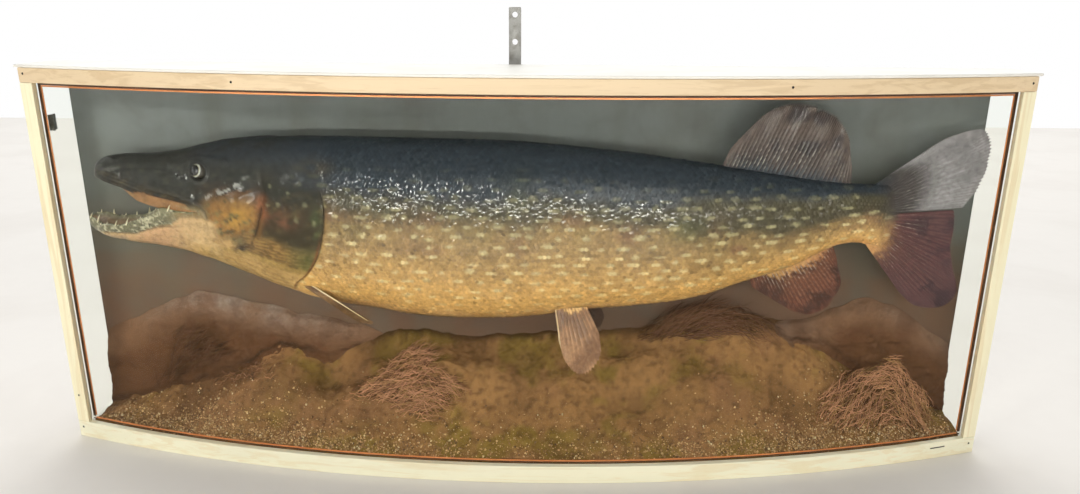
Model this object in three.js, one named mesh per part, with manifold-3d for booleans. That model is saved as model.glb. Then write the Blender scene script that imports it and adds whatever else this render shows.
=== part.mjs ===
// A pike mounted in a bow-fronted glass case, life size.
// Millimetres, +Z up. X runs along the fish from its snout (-X) to its tail (+X), the glass front faces -Y.
// The origin is at the middle of the case's underside.
import * as THREE from 'three';
import { mergeVertices } from 'three/addons/utils/BufferGeometryUtils.js';
import Module from 'manifold-3d';

const wasm = await Module();
wasm.setup();

// ---------------------------------------------------------------- driving dimensions

const GAP = 0.3; // between any two pieces that meet
const CRUMB = 0.05; // edges shorter than this are drawn together after a cut

// The case. Its front is an arc that bows out by BOW over the case's width.
const CASE_WIDTH = 1250;
const CASE_DEPTH = 185;
const CASE_HEIGHT = 510;
const BOW = 98;
const CASE_FRONT = -CASE_DEPTH / 2;
const CASE_REAR = CASE_DEPTH / 2;
const BOW_RADIUS = (CASE_WIDTH ** 2 / 4 + BOW ** 2) / (2 * BOW);
const BOW_CENTRE = CASE_FRONT + BOW_RADIUS;

// The front frame: rails and stiles with a lip in front of the glass and a thinner part beside it.
const STILE_FACE = 19;
const BOTTOM_RAIL = 24;
const TOP_RAIL = 18;
const LIP = 8;
const FRAME_DEEP = 20;
const BOTTOM_SEAT = 10;
const TOP_SEAT = 8;
const GLASS_THICK = 3;
const GLASS_BITE = 7; // how far the front glass runs behind a stile

// Boards of the case.
const BASE_THICK = 12;
const LID_THICK = 3.5;
const LID_OVERHANG = 5;
const BOARD_FACE = 79.5; // front face of the painted backboard
const BOARD_THICK = 6;
const BOARD_HALF = 610;
const PANE_INNER = 606.5;
const CLEAT_INNER = 598; // the cleats hold the side panes' top edges
const BATTEN_WIDTH = 36;
const BATTEN_AT = 575;

// The strap that fixes the case to a wall, with two screw holes above the lid.
const STRAP_WIDTH = 16;
const STRAP_THICK = 3;
const STRAP_AT = -12;
const STRAP_TOP = 586;
const STRAP_FOOT = 455;
const STRAP_CRANK = 521.5; // height of the middle of its bend
const STRAP_BEND = 5;
const STRAP_HOLE = 6.5;
const STRAP_HOLES = [539.8, 576.6];

// A clip on the left side pane, near its front edge.
const CLIP = { y: 20, z: 430, high: 20, deep: 14, reach: 7, thick: 1.5 };

// The groundwork: a bank that climbs from the glass to a crest on the backboard.
const GROUND_HALF = 605.8;
const GROUND_FRONT = 22;
const GROUND_LOW = BASE_THICK + GAP;
const GROUND_INSET = LIP + GLASS_THICK + 1; // from the bow to the front of the groundwork
const CREST = [
  [-606, 36], [-531, 55], [-463, 86], [-402, 107], [-345, 124], [-285, 117], [-240, 122], [-180, 136],
  [-60, 135], [60, 137], [170, 146], [250, 158], [320, 166], [400, 158], [480, 118], [550, 74], [606, 42],
];
// Mounds and hollows: where, how wide along and across, how high.
const MOUNDS = [
  { x: -345, y: 18, along: 75, across: 34, high: 22 },
  { x: -262, y: 34, along: 34, across: 24, high: -18 },
  { x: -60, y: 22, along: 120, across: 26, high: 14 },
  { x: 150, y: -4, along: 60, across: 22, high: -8 },
  { x: 262, y: 12, along: 70, across: 30, high: 16 },
  { x: 390, y: 40, along: 60, across: 22, high: 12 },
];

// Rocks against the backboard: outline of the top edge and how far they stand out at the foot.
const ROCK_LEFT = [[-606, 134], [-580, 147], [-522, 172], [-480, 190], [-458, 194], [-420, 186], [-360, 171], [-300, 150], [-250, 118]];
const ROCK_RIGHT = [[330, 150], [372, 164], [415, 172], [455, 190], [484, 199], [515, 190], [560, 163], [606, 133]];
const ROCK_FOOT = 24;
const ROCK_EDGE = 4;
const ROCK_BURIED = 25; // how far a rock reaches down into the bank

// Clumps of dried weed: where they stand, and half their size along, across and up.
const WEEDS = {
  weed_left: { x: -452, y: 40, z: 138, along: 44, across: 12, up: 36 },
  weed_middle: { x: -152, y: -26, z: 98, along: 62, across: 20, up: 44 },
  weed_small: { x: -318, y: -26, z: 74, along: 40, across: 14, up: 16 },
  weed_back: { x: 226, y: 66, z: 164, along: 66, across: 9, up: 26 },
  weed_right: { x: 466, y: 16, z: 104, along: 60, across: 18, up: 50 },
};

// The fish. Its middle plane curves towards the back of the case at head and tail.
const MIDDLE = 5.5;
const MIDDLE_SWING = 20;
const MIDDLE_REACH = 560;
const UPPER_POWER = 2.35;
const LOWER_POWER = 2.15;
// Stations of the body behind the corner of the mouth: x, back, belly, half width, height of the widest
// part as a share of the depth.
const BODY = [
  [-401, 418.5, 262, 42, 0.42], [-375, 424, 251.5, 47, 0.42], [-350, 426.5, 242.5, 51.5, 0.42],
  [-323, 428, 232, 55, 0.43], [-296, 428.5, 223, 58, 0.44], [-270, 429, 215, 60, 0.45],
  [-240, 429, 209, 61, 0.46], [-190, 428, 202.5, 62, 0.48], [-136, 427.5, 194, 63.5, 0.49],
  [-82, 427, 191, 64.5, 0.5], [-28, 426, 191.5, 64.5, 0.5], [25, 423, 196, 63.5, 0.5], [78, 418.5, 205, 62, 0.5],
  [131, 413, 209, 58.5, 0.5], [184, 406.5, 214.5, 54, 0.5], [236, 399.5, 224.5, 49, 0.5],
  [288, 391.5, 243, 42, 0.5], [339, 383.5, 260, 34, 0.5], [364, 380, 270, 29.5, 0.5], [389, 377, 284, 25.5, 0.5],
  [414, 375, 294, 22, 0.5], [430, 374, 296, 19.5, 0.5], [450, 373, 293, 15, 0.5], [466, 372.5, 289.5, 9, 0.5],
];
const MOUTH_CORNER = BODY[0][0];
const TAIL_END = BODY.at(-1)[0];
// Stations of the upper jaw: x, ridge, lip, half width at the lip.
const BILL = [
  [-557, 382, 376, 3], [-553, 390, 372.5, 13], [-545, 396, 370.5, 19], [-530, 400, 367, 24.5],
  [-505, 402, 360, 28.5], [-475, 404, 350.5, 31.5], [-440, 408.5, 343, 35.5], [-415, 415, 338, 40],
  [-401, 418.5, 335, 42],
];
const BILL_POWER = 2.5;
const ROOF_LIFT = 12;
// Stations of the lower jaw: x, rim, chin, half width, floor of the mouth.
const JAW = [
  [-575, 315, 311, 2.5, 313], [-571, 317, 302.5, 11, 309], [-562, 316.5, 295.5, 18, 303],
  [-545, 311, 289.5, 25.5, 298], [-520, 311, 285.5, 31, 296], [-498, 318, 283, 34, 296],
  [-475, 327, 280.5, 36, 298], [-455, 334, 277, 38, 301], [-430, 333.5, 271, 40, 306],
  [-401.3, 335, 262, 42, 312],
];
const JAW_WALL = 5.5;
const TONGUE = { x: -480, long: 52, half: 12, thick: 4.5, above: 4.2 };
const TEETH = [-566.5, -553.5, -539, -526, -509, -487, -465, -447]; // each between two stations of the jaw
const TOOTH_RADIUS = 1.6;
const TOOTH_ROOT = 3; // how deep a tooth stands in the jaw
const EYE = { x: -402, z: 386, radius: 11.5, sunk: 8.5 };

// Rear edge of the gill covers and the seam above the throat, seen from the side.
const GILL_EDGE = [
  [-262, 460], [-268, 414], [-258, 397], [-244, 384], [-235, 365], [-231, 347], [-232, 328], [-237, 309],
  [-243, 289], [-252, 272], [-265, 257], [-280, 246], [-291, 232], [-297, 214], [-302, 180],
];
const THROAT_SEAM = [[-420, 302], [-373, 291], [-344, 286], [-313, 277], [-285, 270], [-230, 266]];
const COVER = [[-250, 398], [-282, 399], [-309, 385], [-316, 358], [-323, 331], [-331, 307], [-330, 293], [-306, 285], [-240, 279]];
const COVER_CENTRE = [-271, 340];
const COVER_REAR = -215; // behind the whole rear edge
const COVER_INNER = 34; // how far from the middle plane a gill cover's inner face lies
const TRUNK_CUTS = [-80, 120, 290];
// Reach of the cuts that part the body. All of it lies outside the fish.
const CUT = { half: 160, low: 150, high: 470, front: -571, rear: 600 };

// Outlines of the fins that stand in the middle plane: root and edge from the front ray to the last, x and z.
const DORSAL = {
  root: [[250, 385], [300, 378], [360, 371], [420, 366]],
  edge: [[263, 418], [282, 441], [305, 464], [328, 474], [350, 475], [374, 468], [397, 455], [411, 430], [417, 398]],
};
const ANAL = {
  root: [[298, 258], [330, 266], [366, 280], [400, 296]],
  edge: [[304, 234], [324, 222], [345, 209], [371, 195], [396, 197], [414, 214], [422, 240], [413, 272]],
};
const TAIL_UPPER = {
  root: [[446, 366], [452, 356], [456, 345], [457, 334]],
  edge: [[503, 411], [530, 429], [556, 440], [579, 443], [591, 430], [593, 408], [590, 385], [583, 362], [571, 342]],
};
const TAIL_LOWER = {
  root: [[457, 332.5], [456, 320], [453, 308], [446, 298]],
  edge: [[559, 338.5], [562, 312], [562, 288], [569, 262], [577, 240], [578, 220], [566, 205], [546, 203], [522, 209],
    [501, 227]],
};
const FIN_ROOT = 3.2; // thickness of a fin where it leaves the body
const FIN_EDGE = 1.2;

// The paired fins of the near side. Those of the far side mirror them across the middle plane.
const PECTORAL = {
  root: [[-287, -25, 254], [-284, -28, 248], [-281, -27, 243]],
  edge: [[-196, -63, 214], [-190, -52, 199], [-188, -38, 188], [-196, -27, 180]],
};
const PELVIC = {
  root: [[50, -22, 216], [64, -23, 213], [82, -20, 214]],
  edge: [[56, -38, 168], [68, -42, 141], [84, -44, 131], [96, -42, 138], [105, -38, 156], [104, -34, 180]],
};
const PELVIC_FAR = {
  root: [[62, 27, 214], [74, 28, 212], [86, 27, 214]],
  edge: [[84, 32, 186], [96, 36, 166], [108, 36, 162], [113, 34, 180], [106, 31, 198]],
};
const PAIRED_ROOT = 2.6;

// Blocks between the far flank and the backboard that carry the fish.
const BLOCKS = { mount_block_front: -150, mount_block_rear: 210 };
const BLOCK_SIZE = 52;
const BLOCK_HEIGHT = 312;
const BLOCK_FRONT = 30; // inside the flank before the cut

// ---------------------------------------------------------------- finishes

const finish = (colour, roughness, metalness = 0) => new THREE.MeshStandardMaterial({ color: colour, roughness, metalness });
const pane = new THREE.MeshStandardMaterial({ color: 0xdfe8e6, roughness: 0.05, transparent: true, opacity: 0.25 });
const ashWood = finish(0xe9d9ae, 0.45);
const whitePaint = finish(0xe8e6df, 0.5);
const paintedBoard = finish(0x55605c, 0.7);
const plainBoard = finish(0x8d7a60, 0.8);
const steel = finish(0x9a9a96, 0.4, 0.9);
const earth = finish(0x6a5636, 0.9);
const rockPaint = finish(0x6b5446, 0.85);
const driedWeed = finish(0x8d6a50, 0.8);
const backSkin = finish(0x3a3f38, 0.35);
const flankSkin = finish(0x7d7145, 0.35);
const jawSkin = finish(0xb99d68, 0.4);
const mouthSkin = finish(0x8a6a55, 0.5);
const finMembrane = finish(0x6d3f34, 0.4);
const paleFin = finish(0xa58462, 0.4);
const glassEye = finish(0x2a2418, 0.08);

// ---------------------------------------------------------------- curves, meshes and solids

// Smooth value of one column of a table of stations, sorted by their first number, without overshoot.
function along(table, x, column = 1) {
  const last = table.length - 1;
  const clamped = Math.min(Math.max(x, table[0][0]), table[last][0]);
  let i = 0;
  while (i < last - 1 && clamped > table[i + 1][0]) i += 1;
  const slope = (k) => (table[k + 1][column] - table[k][column]) / (table[k + 1][0] - table[k][0]);
  const tangent = (k) => {
    if (k === 0) return slope(0);
    if (k === last) return slope(last - 1);
    const before = slope(k - 1);
    const after = slope(k);
    return before * after <= 0 ? 0 : (2 * before * after) / (before + after);
  };
  const width = table[i + 1][0] - table[i][0];
  const t = (clamped - table[i][0]) / width;
  const ends = (1 + 2 * t) * (1 - t) ** 2 * table[i][column] + t * t * (3 - 2 * t) * table[i + 1][column];
  const turns = t * (1 - t) ** 2 * tangent(i) + t * t * (t - 1) * tangent(i + 1);
  return ends + turns * width;
}

const mix = (a, b, t) => a + (b - a) * t;
const middleY = (x) => MIDDLE + MIDDLE_SWING * Math.min(1, Math.abs(x) / MIDDLE_REACH) ** 2;
const bowY = (x, inset) => BOW_CENTRE - Math.sqrt((BOW_RADIUS - inset) ** 2 - x * x);
const power = (value, exponent) => Math.sign(value) * Math.abs(value) ** (2 / exponent);

function closedMesh(points, faces) {
  let volume = 0;
  const corner = (k) => new THREE.Vector3(...points[k]);
  for (const [a, b, c] of faces) volume += corner(a).dot(corner(b).cross(corner(c)));
  const facing = volume > 0 ? faces : faces.map(([a, b, c]) => [a, c, b]);
  const geometry = new THREE.BufferGeometry();
  geometry.setAttribute('position', new THREE.Float32BufferAttribute(points.flat(), 3));
  geometry.setIndex(facing.flat());
  return geometry;
}

// A skin over closed rings of equal count, each flat across X, with a cap on both ends.
function loft(rings) {
  const count = rings[0].length;
  const faces = [];
  for (let r = 0; r < rings.length - 1; r += 1) {
    for (let k = 0; k < count; k += 1) {
      const a = r * count + k;
      const b = r * count + ((k + 1) % count);
      faces.push([a, b, a + count], [b, b + count, a + count]);
    }
  }
  for (const end of [0, rings.length - 1]) {
    const flat = rings[end].map(([, y, z]) => new THREE.Vector2(y, z));
    const turn = THREE.ShapeUtils.area(flat) * (end === 0 ? -1 : 1);
    for (const corners of THREE.ShapeUtils.triangulateShape(flat, [])) {
      const own = THREE.ShapeUtils.area(corners.map((k) => flat[k]));
      const ordered = own * turn > 0 ? corners : [...corners].reverse();
      faces.push(ordered.map((k) => end * count + k));
    }
  }
  return closedMesh(rings.flat(), faces);
}

// A closed body between two grids of points with the same rows and columns.
function between(front, back) {
  const rows = front.length;
  const columns = front[0].length;
  const points = [...front.flat(), ...back.flat()];
  const at = (side, r, c) => side * rows * columns + r * columns + c;
  const faces = [];
  const quad = (a, b, c, d) => faces.push([a, b, c], [a, c, d]);
  for (let r = 0; r < rows - 1; r += 1) {
    for (let c = 0; c < columns - 1; c += 1) {
      quad(at(0, r, c), at(0, r, c + 1), at(0, r + 1, c + 1), at(0, r + 1, c));
      quad(at(1, r, c), at(1, r + 1, c), at(1, r + 1, c + 1), at(1, r, c + 1));
    }
  }
  const rim = [];
  for (let c = 0; c < columns - 1; c += 1) rim.push([0, c]);
  for (let r = 0; r < rows - 1; r += 1) rim.push([r, columns - 1]);
  for (let c = columns - 1; c > 0; c -= 1) rim.push([rows - 1, c]);
  for (let r = rows - 1; r > 0; r -= 1) rim.push([r, 0]);
  rim.forEach((here, k) => {
    const next = rim[(k + 1) % rim.length];
    quad(at(0, ...here), at(1, ...here), at(1, ...next), at(0, ...next));
  });
  return closedMesh(points, faces);
}

function solid(geometry) {
  const plain = geometry.clone();
  plain.deleteAttribute('normal');
  plain.deleteAttribute('uv');
  const merged = mergeVertices(plain, 1e-4);
  const mesh = { numProp: 3, vertProperties: merged.attributes.position.array, triVerts: merged.index.array };
  return new wasm.Manifold(new wasm.Mesh({ ...mesh, triVerts: Uint32Array.from(mesh.triVerts) }));
}

function fromSolid(body) {
  const mesh = body.simplify(CRUMB).getMesh();
  const geometry = new THREE.BufferGeometry();
  geometry.setAttribute('position', new THREE.BufferAttribute(Float32Array.from(mesh.vertProperties), 3));
  geometry.setIndex([...mesh.triVerts]);
  return geometry;
}

const largest = (body) => body.decompose().sort((a, b) => b.volume() - a.volume())[0];

// An outline drawn in plan and raised from z0 to z1.
function raised(shape, z0, z1, curveSegments = 8) {
  const geometry = new THREE.ExtrudeGeometry(shape, { depth: z1 - z0, bevelEnabled: false, curveSegments });
  return geometry.translate(0, 0, z0);
}

// An outline drawn from the side, as x and z, and carried from y0 to y1.
function sideways(points, y0, y1) {
  const shape = new THREE.Shape(points.map(([x, z]) => new THREE.Vector2(x, z)));
  const geometry = new THREE.ExtrudeGeometry(shape, { depth: y1 - y0, bevelEnabled: false });
  return geometry.rotateX(Math.PI / 2).translate(0, y1, 0);
}

function block(x0, x1, y0, y1, z0, z1) {
  const geometry = new THREE.BoxGeometry(x1 - x0, y1 - y0, z1 - z0);
  return geometry.translate((x0 + x1) / 2, (y0 + y1) / 2, (z0 + z1) / 2);
}

const model = new THREE.Group();
function place(name, geometry, material) {
  geometry.computeVertexNormals();
  const mesh = new THREE.Mesh(geometry, material);
  mesh.name = name;
  model.add(mesh);
}

// ---------------------------------------------------------------- the case

// Plan outline between two arcs of the bow, or between an arc and a straight back.
function bowShape(half, outer, inner) {
  const shape = new THREE.Shape();
  const swing = (inset) => Math.asin(half / (BOW_RADIUS - inset));
  const down = -Math.PI / 2;
  shape.absarc(0, BOW_CENTRE, BOW_RADIUS - outer, down - swing(outer), down + swing(outer), false);
  shape.absarc(0, BOW_CENTRE, BOW_RADIUS - inner, down + swing(inner), down - swing(inner), true);
  shape.closePath();
  return shape;
}

function boardShape(half, inset, backY) {
  const shape = new THREE.Shape();
  const swing = Math.asin(half / (BOW_RADIUS - inset));
  shape.absarc(0, BOW_CENTRE, BOW_RADIUS - inset, -Math.PI / 2 - swing, -Math.PI / 2 + swing, false);
  shape.lineTo(half, backY);
  shape.lineTo(-half, backY);
  shape.closePath();
  return shape;
}

function rail(z0, z1, seat0, seat1) {
  const half = CASE_WIDTH / 2;
  const lip = solid(raised(bowShape(half, 0, LIP), z0, z1));
  return fromSolid(lip.add(solid(raised(bowShape(half, LIP, FRAME_DEEP), seat0, seat1))));
}

function stile(side) {
  const outer = CASE_WIDTH / 2;
  const inner = outer - STILE_FACE;
  const seat = inner + GLASS_BITE + GAP;
  const corners = [[inner, 0], [outer, 0], [outer, FRAME_DEEP], [seat, FRAME_DEEP], [seat, LIP], [inner, LIP]];
  const shape = new THREE.Shape(corners.map(([x, inset]) => new THREE.Vector2(side * x, bowY(x, inset))));
  return raised(shape, BOTTOM_RAIL + GAP, CASE_HEIGHT - TOP_RAIL - GAP);
}

function caseWithGlass() {
  const half = CASE_WIDTH / 2;
  const boardRear = BOARD_FACE + BOARD_THICK;
  const lidLow = CASE_HEIGHT + GAP;
  place('rail_bottom', rail(0, BOTTOM_RAIL, 0, BOTTOM_SEAT), ashWood);
  place('rail_top', rail(CASE_HEIGHT - TOP_RAIL, CASE_HEIGHT, CASE_HEIGHT - TOP_SEAT, CASE_HEIGHT), ashWood);
  place('stile_left', stile(-1), ashWood);
  place('stile_right', stile(1), ashWood);
  const glassHalf = half - STILE_FACE + GLASS_BITE;
  const glassIn = LIP + GAP;
  const glass = bowShape(glassHalf, glassIn, glassIn + GLASS_THICK);
  place('glass_front', raised(glass, BOTTOM_SEAT + GAP, CASE_HEIGHT - TOP_SEAT - GAP), pane);
  const paneFront = bowY(PANE_INNER + GLASS_THICK, glassIn + GLASS_THICK) + GAP;
  for (const [name, side] of [['glass_left', -1], ['glass_right', 1]]) {
    const faces = [side * PANE_INNER, side * (PANE_INNER + GLASS_THICK)].sort((a, b) => a - b);
    place(name, block(...faces, paneFront, BOARD_FACE - GAP, BASE_THICK + GAP, CASE_HEIGHT - TOP_SEAT - GAP), pane);
  }
  const cleatFront = bowY(BOARD_HALF, FRAME_DEEP) + GAP;
  for (const [name, side] of [['cleat_left', -1], ['cleat_right', 1]]) {
    const faces = [side * CLEAT_INNER, side * BOARD_HALF].sort((a, b) => a - b);
    place(name, block(...faces, cleatFront, BOARD_FACE - GAP, CASE_HEIGHT - TOP_SEAT, CASE_HEIGHT), whitePaint);
  }
  place('case_base', raised(boardShape(half, FRAME_DEEP + GAP, boardRear), 0, BASE_THICK), whitePaint);
  place('case_lid', raised(boardShape(half + LID_OVERHANG, 0, boardRear), lidLow, lidLow + LID_THICK), whitePaint);
  const board = block(-BOARD_HALF, BOARD_HALF, BOARD_FACE, boardRear, BASE_THICK + GAP, CASE_HEIGHT);
  place('backboard', board, paintedBoard);
  for (const [name, at] of [['batten_left', -BATTEN_AT], ['batten_right', BATTEN_AT]]) {
    const span = [at - BATTEN_WIDTH / 2, at + BATTEN_WIDTH / 2];
    place(name, block(...span, boardRear + GAP, CASE_REAR - GAP, BASE_THICK + GAP, CASE_HEIGHT), plainBoard);
  }
}

function strap() {
  const low = BOARD_FACE + BOARD_THICK + GAP;
  const high = CASE_REAR - STRAP_THICK;
  const profile = [
    [low, STRAP_FOOT], [low + STRAP_THICK, STRAP_FOOT], [low + STRAP_THICK, STRAP_CRANK - STRAP_BEND],
    [CASE_REAR, STRAP_CRANK + STRAP_BEND - 2], [CASE_REAR, STRAP_TOP], [high, STRAP_TOP],
    [high, STRAP_CRANK + STRAP_BEND], [low, STRAP_CRANK - STRAP_BEND + 2],
  ];
  const shape = new THREE.Shape(profile.map(([y, z]) => new THREE.Vector2(y, z)));
  const bar = new THREE.ExtrudeGeometry(shape, { depth: STRAP_WIDTH, bevelEnabled: false });
  bar.rotateX(Math.PI / 2).rotateZ(Math.PI / 2).translate(STRAP_AT - STRAP_WIDTH / 2, 0, 0);
  let body = solid(bar);
  for (const z of STRAP_HOLES) {
    const drill = new THREE.CylinderGeometry(STRAP_HOLE / 2, STRAP_HOLE / 2, 20, 16);
    body = body.subtract(solid(drill.translate(STRAP_AT, CASE_REAR, z)));
  }
  return fromSolid(body);
}

function glazingClip() {
  const { y, z, high, deep, reach, thick } = CLIP;
  const x = -PANE_INNER + GAP;
  const foot = solid(block(x, x + thick, y, y + deep, z, z + high));
  return fromSolid(foot.add(solid(block(x, x + reach, y, y + thick, z, z + high))));
}

// ---------------------------------------------------------------- the groundwork

function groundZ(x, y) {
  const front = bowY(x, GROUND_INSET);
  const t = (y - front) / (BOARD_FACE - front);
  let z = mix(GROUND_FRONT, along(CREST, x), t * (0.7 + 0.3 * t));
  for (const m of MOUNDS) z += m.high * Math.exp(-(((x - m.x) / m.along) ** 2) - ((y - m.y) / m.across) ** 2);
  return z;
}

function groundwork() {
  const [columns, rows] = [32, 6];
  const grid = (height) => Array.from({ length: rows + 1 }, (_, r) => Array.from({ length: columns + 1 }, (_, c) => {
    const x = mix(-GROUND_HALF, GROUND_HALF, c / columns);
    const y = mix(bowY(x, GROUND_INSET), BOARD_FACE - GAP, r / rows);
    return [x, y, height(x, y)];
  }));
  return between(grid(groundZ), grid(() => GROUND_LOW));
}

// A rock stands on the bank and leans on the backboard.
function rock(outline, ground) {
  const [columns, rows] = [10, 4];
  const [from, to] = [outline[0][0], outline.at(-1)[0]].map((x) => Math.sign(x) * Math.min(Math.abs(x), GROUND_HALF));
  const grid = (depth) => Array.from({ length: rows + 1 }, (_, r) => Array.from({ length: columns + 1 }, (_, c) => {
    const x = mix(from, to, c / columns);
    const foot = groundZ(x, BOARD_FACE) - ROCK_BURIED;
    const t = r / rows;
    return [x, BOARD_FACE - GAP - depth(t, x), mix(foot, along(outline, x), t)];
  }));
  const bulge = (t, x) => mix(ROCK_FOOT, ROCK_EDGE, t ** 1.6) * (1 + 0.12 * Math.sin(x / 17));
  const body = solid(between(grid(bulge), grid(() => 0)));
  return fromSolid(largest(body.subtract(ground.translate(0, 0, GAP)).subtract(ground)));
}

function weed({ x, y, z, along: a, across: b, up }, solids) {
  const ball = new THREE.SphereGeometry(1, 10, 6);
  const position = ball.attributes.position;
  for (let k = 0; k < position.count; k += 1) {
    const p = new THREE.Vector3().fromBufferAttribute(position, k);
    const swell = 1 + 0.12 * Math.sin(7 * p.x + 2) * Math.cos(5 * p.z);
    position.setXYZ(k, x + a * p.x * swell, y + b * p.y * swell, z + up * p.z * swell);
  }
  let body = solid(ball);
  for (const other of solids) {
    for (const shift of [[0, 0, 0], [0, 0, GAP], [0, -GAP, 0]]) body = body.subtract(other.translate(...shift));
  }
  return fromSolid(largest(body));
}

// ---------------------------------------------------------------- the fish

// Ring of the closed body at x, grown outwards by extra.
function bodyRing(x, extra = 0, count = 22) {
  const [top, low, half, level] = [1, 2, 3, 4].map((column) => along(BODY, x, column));
  const wide = mix(low, top, level);
  return Array.from({ length: count }, (_, k) => {
    const a = (2 * Math.PI * k) / count;
    const upper = Math.cos(a) >= 0;
    const exponent = upper ? UPPER_POWER : LOWER_POWER;
    const reach = (upper ? top - wide : wide - low) + extra;
    return [x, middleY(x) - (half + extra) * power(Math.sin(a), exponent), wide + reach * power(Math.cos(a), exponent)];
  });
}

function bodySolid(extra = 0) {
  const stations = [];
  for (let x = MOUTH_CORNER; x < TRUNK_CUTS[2]; x += 26) stations.push(x);
  for (let x = TRUNK_CUTS[2] + 10; x < TAIL_END; x += 16) stations.push(x);
  stations.push(TAIL_END);
  const rings = stations.map((x) => bodyRing(x, extra));
  return solid(loft(rings));
}

// Ring of the upper jaw: over the snout from lip to lip, and back along the vaulted roof of the mouth.
function billRing(x, shrink = 0) {
  const [ridge, lip, half] = [1, 2, 3].map((column) => along(BILL, x, column));
  const [over, under] = [13, 5];
  const vault = Math.min(ROOF_LIFT, 0.55 * (ridge - lip));
  const outer = Array.from({ length: over }, (_, k) => {
    const a = (Math.PI * k) / (over - 1);
    const y = -(half - shrink) * power(Math.cos(a), BILL_POWER);
    return [x, middleY(x) + y, lip + (ridge - lip - shrink) * power(Math.sin(a), BILL_POWER)];
  });
  const roof = Array.from({ length: under }, (_, k) => {
    const a = (Math.PI * (k + 1)) / (under + 1);
    return [x, middleY(x) + (half - shrink - 1.5) * Math.cos(a), lip + vault * Math.sin(a)];
  });
  return [...outer, ...roof];
}

function billSolid() {
  const stations = [-557, -553, -545, -530, -508, -480, -450, -424, MOUTH_CORNER];
  const rings = stations.map((x) => billRing(x));
  rings.push(billRing(MOUTH_CORNER, 0.5).map(([x, y, z]) => [x + 4, y, z]));
  return solid(loft(rings));
}

function jawRing(x) {
  const [rim, chin, half, floor] = [1, 2, 3, 4].map((column) => along(JAW, x, column));
  const count = 9;
  const wall = Math.min(JAW_WALL, 0.35 * half);
  const sweep = (w, depth, exponent, from, to) => Array.from({ length: count }, (_, k) => {
    const a = mix(from, to, k / (count - 1));
    return [x, middleY(x) - w * power(Math.cos(a), exponent), rim - depth * power(Math.sin(a), exponent)];
  });
  const outer = sweep(half, rim - chin, 2.3, 0, Math.PI);
  const inner = sweep(half - wall, rim - floor, 2.6, Math.PI, 0);
  return [...outer, ...inner];
}

function tooth(x, side, height) {
  const y = middleY(x) + side * (along(JAW, x, 3) - JAW_WALL / 2);
  const cone = new THREE.ConeGeometry(TOOTH_RADIUS, height + TOOTH_ROOT, 5);
  return cone.rotateX(Math.PI / 2).rotateY(-0.18).translate(x, y, along(JAW, x) + (height - TOOTH_ROOT) / 2);
}

function jawSolid() {
  const stations = [-575, -571, -562, -546, -532, -520, -498, -475, -455, -430, JAW.at(-1)[0]];
  let body = solid(loft(stations.map(jawRing)));
  TEETH.forEach((x, k) => {
    const height = 5 + 3 * ((k + 1) % 3);
    for (const side of [-1, 1]) body = body.add(solid(tooth(x, side, height)));
  });
  return body;
}

function tongueSolid(jaw) {
  const { x, long, half, thick, above } = TONGUE;
  const ball = new THREE.SphereGeometry(1, 12, 6);
  ball.scale(long, half, thick).rotateY(0.04);
  const body = solid(ball.translate(x, middleY(x), along(JAW, x, 4) + above));
  return largest(body.subtract(jaw).subtract(jaw.translate(0, 0, GAP)));
}

// A fin as a grid of rays between its root and its edge, thinner towards the edge.
function fin(root, edge, rootThick, across, rays, steps = 3) {
  const curve = (points) => new THREE.CatmullRomCurve3(points.map((p) => new THREE.Vector3(...p)));
  const [inner, outer] = [curve(root), curve(edge)];
  const grid = (side) => Array.from({ length: rays + 1 }, (_, r) => Array.from({ length: steps + 1 }, (_, s) => {
    const [u, v] = [r / rays, s / steps];
    const point = inner.getPoint(u).lerp(outer.getPoint(u), v);
    return point.addScaledVector(across, (side * mix(rootThick, FIN_EDGE, v)) / 2).toArray();
  }));
  return solid(between(grid(-1), grid(1)));
}

const inMiddle = (points) => points.map(([x, z]) => [x, middleY(x), z]);
const mirrored = (points) => points.map(([x, y, z]) => [x, 2 * middleY(x) - y, z]);

function eyeBall(side, extra = 0) {
  const ball = new THREE.SphereGeometry(EYE.radius + extra, 14, 8);
  const [top, low, half, level] = [1, 2, 3, 4].map((column) => along(BODY, EYE.x + 1, column));
  const wide = mix(low, top, level);
  const flank = half * (1 - ((EYE.z - wide) / (top - wide)) ** UPPER_POWER) ** (1 / UPPER_POWER);
  return ball.translate(EYE.x, middleY(EYE.x) + side * (flank - EYE.sunk), EYE.z);
}

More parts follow.
